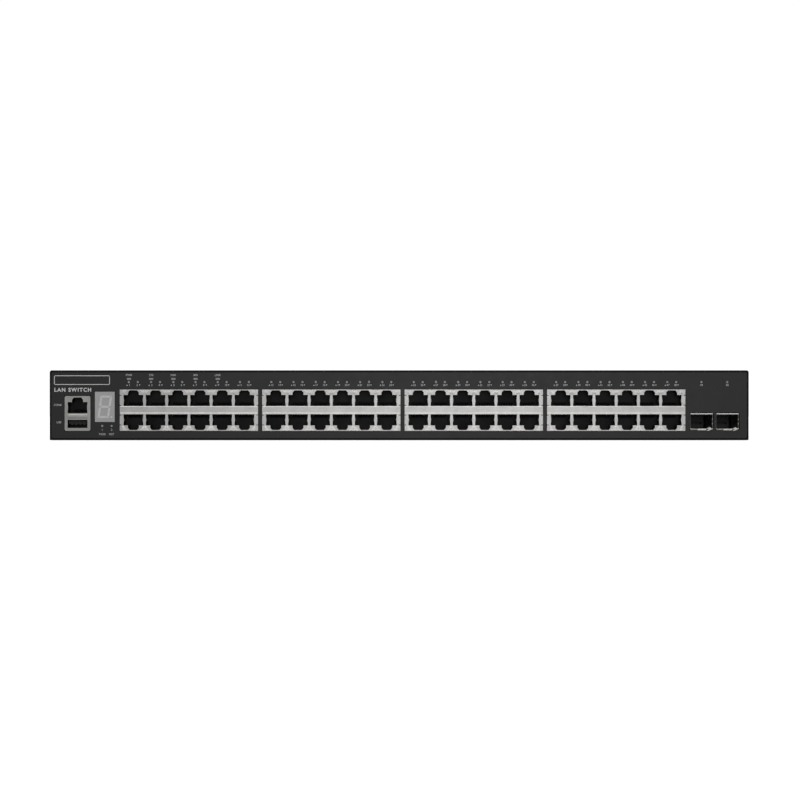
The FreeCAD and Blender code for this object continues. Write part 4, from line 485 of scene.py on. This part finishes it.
def column_x(block, column):
    low, high = block_box(block)
    return (low.x + high.x) / 2 + (column - (COLUMNS - 1) / 2) * PITCH


def columns():
    return [(block, column) for block in range(BLOCKS) for column in range(COLUMNS)]


def cage_x(cage):
    low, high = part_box(f"sfp_cage_{cage + 1}")
    return (low.x + high.x) / 2


# ---------------------------------------------------------------- front legends

NUMBER_Z = LAMP_Z - 1.95 * MM
NUMBER_TALL = 1.25 * MM
NUMBER_SHIFT = 0.45 * MM
ARROW_SHIFT = 1.2 * MM
WORD_TALL = 1.25 * MM
STATUS_WORDS = ("PWR", "SYS", "FAN", "BPS", "LINK")


def port_numbers():
    """Two numbers under the lamps of each column, and one under each fibre cage's lamp."""
    words = []
    for block, column in columns():
        first = 2 * (block * COLUMNS + column) + 1
        x = column_x(block, column)
        for side in (-1, 1):
            number = first if side < 0 else first + 1
            shift = side * (LAMP_SPACING / 2 - NUMBER_SHIFT)
            words.append((str(number), x + shift, NUMBER_Z, NUMBER_TALL))
    for cage in range(CAGES):
        number = 2 * BLOCKS * COLUMNS + cage + 1
        words.append((str(number), cage_x(cage), NUMBER_Z, NUMBER_TALL))
    printed("port_numbers", words, GREY_INK)


def port_arrows():
    """A small triangle beside each number: up for the upper jack, down for the lower one."""
    bm = bmesh.new()
    half = 0.45 * MM
    for block, column in columns():
        for side in (-1, 1):
            x = column_x(block, column) + side * (LAMP_SPACING / 2 + ARROW_SHIFT)
            tip = -side * half
            outline = [(x - half, NUMBER_Z - tip), (x + half, NUMBER_Z - tip), (x, NUMBER_Z + tip)]
            add_prism(bm, outline, facing(FRONT - INK), INK / 2)
    finished("port_arrows", bm, GREY_INK)


def front_words():
    """Generic words beside the lamps, the sockets and the digit."""
    over_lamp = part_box("status_light_pipes")[1].z + 1.75 * MM
    words = []
    for number, word in enumerate(STATUS_WORDS):
        words.append((word, column_x(0, number) - LAMP_SPACING / 2, over_lamp, WORD_TALL))

    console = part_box("console_usb_shield")[0]
    beside_console = console.x - 4.4 * MM
    console_rise = 16.2 * MM
    usb_rise = 5.3 * MM
    usb_shift = 0.8 * MM
    words.append(("CONS", beside_console, console.z + console_rise, WORD_TALL))
    words.append(("USB", beside_console + usb_shift, console.z + usb_rise, WORD_TALL))

    display_low, display_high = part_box("display_body")
    right_of_display = 1.35 * MM
    middle = (display_low.x + display_high.x) / 2 + right_of_display
    spacing = 2.95 * MM
    word_z = 3.7 * MM
    number_z = 6.5 * MM
    for side, word, number in ((-1, "MOD", "1"), (1, "MST", "2")):
        words.append((word, middle + side * spacing, word_z, WORD_TALL))
        words.append((number, middle + side * spacing, number_z, NUMBER_TALL))
    printed("front_words", words, GREY_INK)


def type_line():
    """A generic line of type under the nameplate."""
    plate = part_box("nameplate")[0]
    right = 11.9 * MM
    drop = 3.1 * MM
    tall = 2.3 * MM
    words = [("LAN SWITCH", plate.x + right, plate.z - drop, tall)]
    printed("type_line", words, WHITE_INK, bold=0.045, spacing=1.25)


def nameplate_border():
    """The plate's bright printed outline."""
    low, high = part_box("nameplate")
    inset = 0.15 * MM
    wide = 0.42 * MM
    left = low.x + inset
    right = high.x - inset
    bottom = low.z + inset
    top = high.z - inset
    y = low.y - INK / 2
    bm = bmesh.new()
    for x0, x1, z0, z1 in (
        (left, right, bottom, bottom + wide),
        (left, right, top - wide, top),
        (left, left + wide, bottom, top),
        (right - wide, right, bottom, top),
    ):
        add_box(bm, (x0, y, z0), (x1, y + INK, z1))
    finished("nameplate_border", bm, WHITE_INK)


# ---------------------------------------------------------------- port details


def spring_line(x, side):
    """The bowed line of one ground spring, as (x, y) points from the shield's face inwards."""
    start = SHIELD_FACE + 0.25 * MM
    reach = 6.0 * MM
    bow = 0.75 * MM
    # the bow ends before the inner end of the spring does, and it rises and falls a little sharply
    early = 1.15
    sharp = 1.3
    steps = 7
    line = []
    for step in range(steps + 1):
        share = step / steps
        inwards = bow * math.sin(math.pi * min(1.0, share * early)) ** sharp
        line.append((x - side * inwards, start + reach * share))
    return line


def ground_springs(block):
    """Leaf springs at both sides of each jack, bowed into the opening."""
    half = 0.75 * MM
    thick = 0.15 * MM
    outside = 0.05 * MM
    bm = bmesh.new()
    for column in range(COLUMNS):
        for up in (1, -1):
            z = BLOCK_MIDDLE + up * (PORT_RISE + PORT_TALL / 2)
            for side in (-1, 1):
                x = column_x(block, column) + side * (PORT_HALF + outside)
                add_strip(bm, spring_line(x, side), z - half, z + half, thick)
    finished(f"port_block_{block + 1}_springs", bm, FINISH["nickel_sheet"])


# height over the block's middle, own height, and how far it stands out
BAND_BEADS = (
    (-2.0 * MM, 0.8 * MM, 0.1 * MM),
    (2.2 * MM, 0.6 * MM, 0.07 * MM),
)


def band_beads(block):
    """Two low beads pressed along the band between the two rows of jacks."""
    low, high = block_box(block)
    end = 0.5 * MM
    bm = bmesh.new()
    for rise, tall, proud in BAND_BEADS:
        z = BLOCK_MIDDLE + rise
        profile = [
            (SHIELD_FACE + ROOT, z - tall / 2),
            (SHIELD_FACE - proud, z - tall / 4),
            (SHIELD_FACE - proud, z + tall / 4),
            (SHIELD_FACE + ROOT, z + tall / 2),
        ]
        add_prism(bm, profile, across(low.x + end), high.x - low.x - 2 * end)
    # the lighter nickel paints a highlight on the beads
    finished(f"port_block_{block + 1}_beads", bm, HIGHLIGHT_NICKEL)


LEAF_TALL = 2.9 * MM
LEAF_SHEET = 0.01 * MM
# half the gap between the two leaves of a pair, and a leaf's outer edge at the block's edge and at
# its narrow end, all from the middle of the pair
LEAF_GAP = 0.12 * MM
LEAF_FOOT = (PITCH - NOTCH_WIDTH) / 2 - 0.25 * MM
LEAF_NECK = 0.8 * MM


def leaf_sides(middle, side, share):
    """The left and right x of a leaf, at a share of its height."""
    near = middle + side * LEAF_GAP
    far = middle + side * (LEAF_FOOT + (LEAF_NECK - LEAF_FOOT) * share ** 0.8)
    return min(near, far), max(near, far)


def add_leaf(bm, middle, side, root, up, bulge, start):
    """A stamped leaf that bows out of the front, from its root z upwards or downwards. The bow is a
    half wave from `start` to 1, so that a start of 0 is flat at the root, and a start of 0.5 is
    furthest out there."""
    tip = root + up * LEAF_TALL
    back = SHIELD_FACE + ROOT
    steps = 6
    rows = []
    for step in range(steps + 1):
        share = step / steps
        left, right = leaf_sides(middle, side, share)
        z = root + (tip - root) * share
        front = SHIELD_FACE - LEAF_SHEET - bulge * math.sin(math.pi * (start + (1 - start) * share))
        rows.append(
            [
                bm.verts.new((left, back, z)),
                bm.verts.new((left, front, z)),
                bm.verts.new((right, front, z)),
                bm.verts.new((right, back, z)),
            ]
        )
    add_skin(bm, rows)


def shield_leaves(block):
    """Pairs of pressed leaves at the foot and the head of each wall between two jacks. Each leaf is
    wide at the block's edge and narrows towards the wall."""
    low, high = block_box(block)
    inset = 0.25 * MM
    margin = MM
    foot = BLOCK_MIDDLE - BLOCK_HEIGHT / 2 + inset
    head = BLOCK_MIDDLE + BLOCK_HEIGHT / 2 - inset
    bm = bmesh.new()
    for step in range(COLUMNS + 1):
        middle = column_x(block, 0) + (step - 0.5) * PITCH
        for side in (-1, 1):
            if low.x + margin < middle + side * LEAF_FOOT < high.x - margin:
                add_leaf(bm, middle, side, foot, up=1, bulge=0.6 * MM, start=0.5)
                add_leaf(bm, middle, side, head, up=-1, bulge=0.2 * MM, start=0.0)
    # the lighter nickel paints a highlight on the leaves
    finished(f"port_block_{block + 1}_leaves", bm, HIGHLIGHT_NICKEL)


def block_seals():
    """Foam strips behind the panel that close the gap over each port block."""
    tall = 1.5 * MM
    deep = 2.0 * MM
    behind_film = 1.4 * MM
    chamfer = 0.4 * MM
    bottom = BLOCK_MIDDLE + BLOCK_HEIGHT / 2
    top = bottom + tall
    front = FILM_HIGH.y + behind_film
    back = front + deep
    profile = [(front, bottom), (front, top - chamfer), (front + chamfer, top), (back, top), (back, bottom)]
    bm = bmesh.new()
    for block in range(BLOCKS):
        low, high = block_box(block)
        add_prism(bm, profile, across(low.x), high.x - low.x)
    finished("block_seals", bm, FINISH["black_moulding"])


def console_bead():
    """The half-round bead pressed into the band between the console jack and the USB socket."""
    low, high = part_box("console_usb_shield")
    rise = 8.9 * MM
    half_tall = 1.3 * MM
    out = 0.3 * MM
    end = 1.9 * MM
    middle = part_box("console_usb_housing")[0].z + rise
    profile = half_round(low.y + ROOT, middle, out, half_tall, steps=10)
    bm = bmesh.new()
    add_prism(bm, profile, across(low.x + end), high.x - low.x - 2 * end)
    finished("console_bead", bm, FRONT_FINISH["console_usb_shield"])


# sizes that the CAD gives the cages: the spring finger on top, and the height without it
CAGE_FINGER = 0.4 * MM
CAGE_HEIGHT = 9.9 * MM
GASKET_BEHIND = 0.06 * MM
UPPER_LIP_DROP = 0.35 * MM
# the rolled lips, in mm: left and right end from the cage's middle, height over its lower edge,
# radius, and how far out
LIPS = (
    (-6.8, 6.8, (CAGE_HEIGHT - UPPER_LIP_DROP) / MM, 0.4, 0.25),
    (-2.6, 2.9, -0.35, 0.6, 0.4),
    (-7.0, -2.8, -0.3, 0.2, 0.2),
)
# the outline of the long finger, in mm from the middle of the cage's lower edge
ARROW = (
    (3.1, -0.9),
    (4.4, 0.15),
    (3.1, 0.2),
    (3.3, 0.75),
    (4.6, 0.8),
    (4.5, 1.5),
    (7.1, 0.15),
    (4.3, -1.0),
)
# a short finger's outline, in mm: x from the cage's middle, and z from the finger's own
SHORT_FINGER = ((6.6, -0.4), (7.05, -0.15), (7.05, 0.15), (6.6, 0.4))
SHORT_FINGER_RISES = (3.4, 6.2)


def add_finger(bm, middle, floor, face, outline, thick):
    """A flat finger: its outline is in mm from the middle of the cage's lower edge."""
    points = [(middle + x * MM, floor + up * MM) for x, up in outline]
    add_prism(bm, points, facing(face), thick)


def cage_gasket(cage):
    """The spring gasket folded round a cage's mouth: a rolled upper lip, the latch's lip, an arrow-shaped
    finger beside it and short springs."""
    low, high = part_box(f"sfp_cage_{cage + 1}")
    middle = cage_x(cage)
    face = low.y + GASKET_BEHIND
    floor = high.z - CAGE_FINGER - CAGE_HEIGHT
    bm = bmesh.new()
    for left, right, rise, radius, out in LIPS:
        profile = half_round(face + out * MM, floor + rise * MM, out * MM, radius * MM, steps=6)
        add_prism(bm, profile, across(middle + left * MM), (right - left) * MM)
    add_finger(bm, middle, floor, face + 0.1 * MM, ARROW, thick=0.15 * MM)
    for rise in SHORT_FINGER_RISES:
        outline = [(x, rise + up) for x, up in SHORT_FINGER]
        add_finger(bm, middle, floor, face + 0.5 * MM, outline, thick=0.2 * MM)
    finished(f"sfp_cage_{cage + 1}_gasket", bm, GASKET, bevel=0.04 * MM)


# ---------------------------------------------------------------- rear details


def hub_labels():
    """A plain foil label on the hub of each rotor, with a notch that shows how it turns."""
    radius = 6.0 * MM
    notch_radius = 5.2 * MM
    notch_half_angle = 0.2
    thick = 0.05 * MM
    steps = 48
    turns = [2 * math.pi * step / steps for step in range(steps)]
    for joint in frame["joints"]:
        fan = joint["child"]
        x, _, z = joint["pos_m"]
        outline = []
        for turn in turns:
            notched = abs(turn - math.pi / 2) <= notch_half_angle
            out = notch_radius if notched else radius
            outline.append((x + out * math.cos(turn), z + out * math.sin(turn)))
        bm = bmesh.new()
        add_prism(bm, outline, facing(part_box(f"{fan}_rotor")[1].y), thick)
        finished(f"{fan}_label", bm, LABEL, body=fan)


def earth_symbol():
    """A stem over three bars that grow shorter downwards, printed over the earth screw."""
    low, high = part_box("earth_screw")
    x = (low.x + high.x) / 2
    z = high.z + 4.5 * MM
    half_line = 0.18 * MM
    stem_foot = 0.17 * MM
    stem_top = 2.4 * MM
    bar_step = 0.9 * MM
    bm = bmesh.new()
    for number, half in enumerate((2.2 * MM, 1.4 * MM, 0.7 * MM)):
        bar = z - number * bar_step
        add_box(bm, (x - half, REAR, bar - half_line), (x + half, REAR + INK, bar + half_line))
    add_box(bm, (x - half_line, REAR, z + stem_foot), (x + half_line, REAR + INK, z + stem_top))
    finished("earth_symbol", bm, GREY_INK)


def fan_numbers():
    """A number at the lower corner of each fan."""
    shift = 20.5 * MM
    number_z = 3.2 * MM
    tall = 2.0 * MM
    words = []
    for number, joint in enumerate(frame["joints"], 1):
        words.append((str(number), joint["pos_m"][0] + shift, number_z, tall))
    printed("fan_numbers", words, GREY_INK, rear=True)


# ---------------------------------------------------------------- stage

AMBIENT = 0.33
FLOOR_GLOW = 0.76
FLOOR_SIZE = 60
# the floor lies a little under the switch, so that the underside shows from below
FLOOR_Z = -0.3 * MM
LIGHT_TARGET = Vector((0, 0, 0.02))
# name, place, width, height and brightness of each light
SOFT_BOXES = (
    ("front_box", (0.12, -2.45, 0.26), 0.6, 0.5, 2.6),
    ("top_box", (-0.1, -1.0, 1.4), 1.6, 1.0, 2.0),
    ("back_box", (0.3, 1.8, 1.4), 1.4, 1.0, 2.4),
)
CAMERA_X = 0.5 * MM
CAMERA_Z = 25.3 * MM
CAMERA_DISTANCE = 1.45
SEEN_WIDTH = 0.5032
SENSOR_WIDTH = 36


def soft_box(name, place, wide, tall, brightness):
    """An area light that points at the switch and looks equally bright at any size."""
    light = bpy.data.lights.new(name, "AREA")
    light.shape = "RECTANGLE"
    light.size = wide
    light.size_y = tall
    light.energy = brightness * math.pi * wide * tall
    lamp = bpy.data.objects.new(name, light)
    lamp.location = place
    lamp.rotation_euler = (LIGHT_TARGET - Vector(place)).to_track_quat("-Z", "Y").to_euler()
    bpy.context.scene.collection.objects.link(lamp)


def floor_finish():
    """White that glows to the camera only, and that is clear from below."""
    made, tree, shader = material("floor_finish")
    shader.inputs["Base Color"].default_value = (0.8, 0.8, 0.8, 1)
    shader.inputs["Roughness"].default_value = 0.9
    shader.inputs["Emission Color"].default_value = (1, 1, 1, 1)
    path = node(tree, "ShaderNodeLightPath")
    glow = node(tree, "ShaderNodeMath")
    glow.operation = "MULTIPLY"
    glow.inputs[1].default_value = FLOOR_GLOW
    link(tree, path.outputs["Is Camera Ray"], glow.inputs[0])
    link(tree, glow.outputs["Value"], shader.inputs["Emission Strength"])
    side = node(tree, "ShaderNodeNewGeometry")
    clear = node(tree, "ShaderNodeBsdfTransparent")
    mix = node(tree, "ShaderNodeMixShader")
    output = next(part for part in tree.nodes if part.type == "OUTPUT_MATERIAL")
    link(tree, side.outputs["Backfacing"], mix.inputs["Fac"])
    link(tree, shader.outputs["BSDF"], mix.inputs[1])
    link(tree, clear.outputs["BSDF"], mix.inputs[2])
    link(tree, mix.outputs["Shader"], output.inputs["Surface"])
    return made


def white_floor():
    """A floor that the camera sees, and that neither lights, shades nor mirrors in the switch."""
    bpy.ops.mesh.primitive_plane_add(size=FLOOR_SIZE, location=(0, 0, FLOOR_Z))
    floor = bpy.context.object
    floor.name = "floor"
    floor.visible_diffuse = False
    floor.visible_glossy = False
    floor.visible_shadow = False
    floor.data.materials.append(floor_finish())


def white_world():
    """A world that is white to the camera and dimmer as a light."""
    world = bpy.data.worlds.new("studio")
    bpy.context.scene.world = world
    world.use_nodes = True
    tree = world.node_tree
    tree.nodes.clear()
    seen = node(tree, "ShaderNodeBackground", Color=(1, 1, 1, 1), Strength=1.05)
    lit = node(tree, "ShaderNodeBackground", Color=(1, 1, 1, 1), Strength=AMBIENT)
    path = node(tree, "ShaderNodeLightPath")
    mix = node(tree, "ShaderNodeMixShader")
    output = node(tree, "ShaderNodeOutputWorld")
    link(tree, path.outputs["Is Camera Ray"], mix.inputs["Fac"])
    link(tree, lit.outputs["Background"], mix.inputs[1])
    link(tree, seen.outputs["Background"], mix.inputs[2])
    link(tree, mix.outputs["Shader"], output.inputs["Surface"])


def front_camera():
    """A camera straight in front, which sees SEEN_WIDTH metres at the front film."""
    camera = bpy.data.cameras.new("camera")
    camera.sensor_width = SENSOR_WIDTH
    camera.lens = SENSOR_WIDTH * CAMERA_DISTANCE / SEEN_WIDTH
    eye = bpy.data.objects.new("camera", camera)
    eye.location = (CAMERA_X, FRONT - CAMERA_DISTANCE, CAMERA_Z)
    eye.rotation_euler = (math.radians(90), 0, 0)
    bpy.context.scene.collection.objects.link(eye)
    bpy.context.scene.camera = eye


def stage():
    """A white floor and world, soft boxes in front, above and behind, and the camera."""
    white_floor()
    white_world()
    for name, place, wide, tall, brightness in SOFT_BOXES:
        soft_box(name, place, wide, tall, brightness)
    front_camera()
    bpy.context.scene.view_settings.view_transform = "Standard"


finish_cad_nodes()
port_numbers()
port_arrows()
front_words()
type_line()
nameplate_border()
for block_number in range(BLOCKS):
    ground_springs(block_number)
    band_beads(block_number)
    shield_leaves(block_number)
block_seals()
console_bead()
for cage_number in range(CAGES):
    cage_gasket(cage_number)
hub_labels()
earth_symbol()
fan_numbers()
stage()
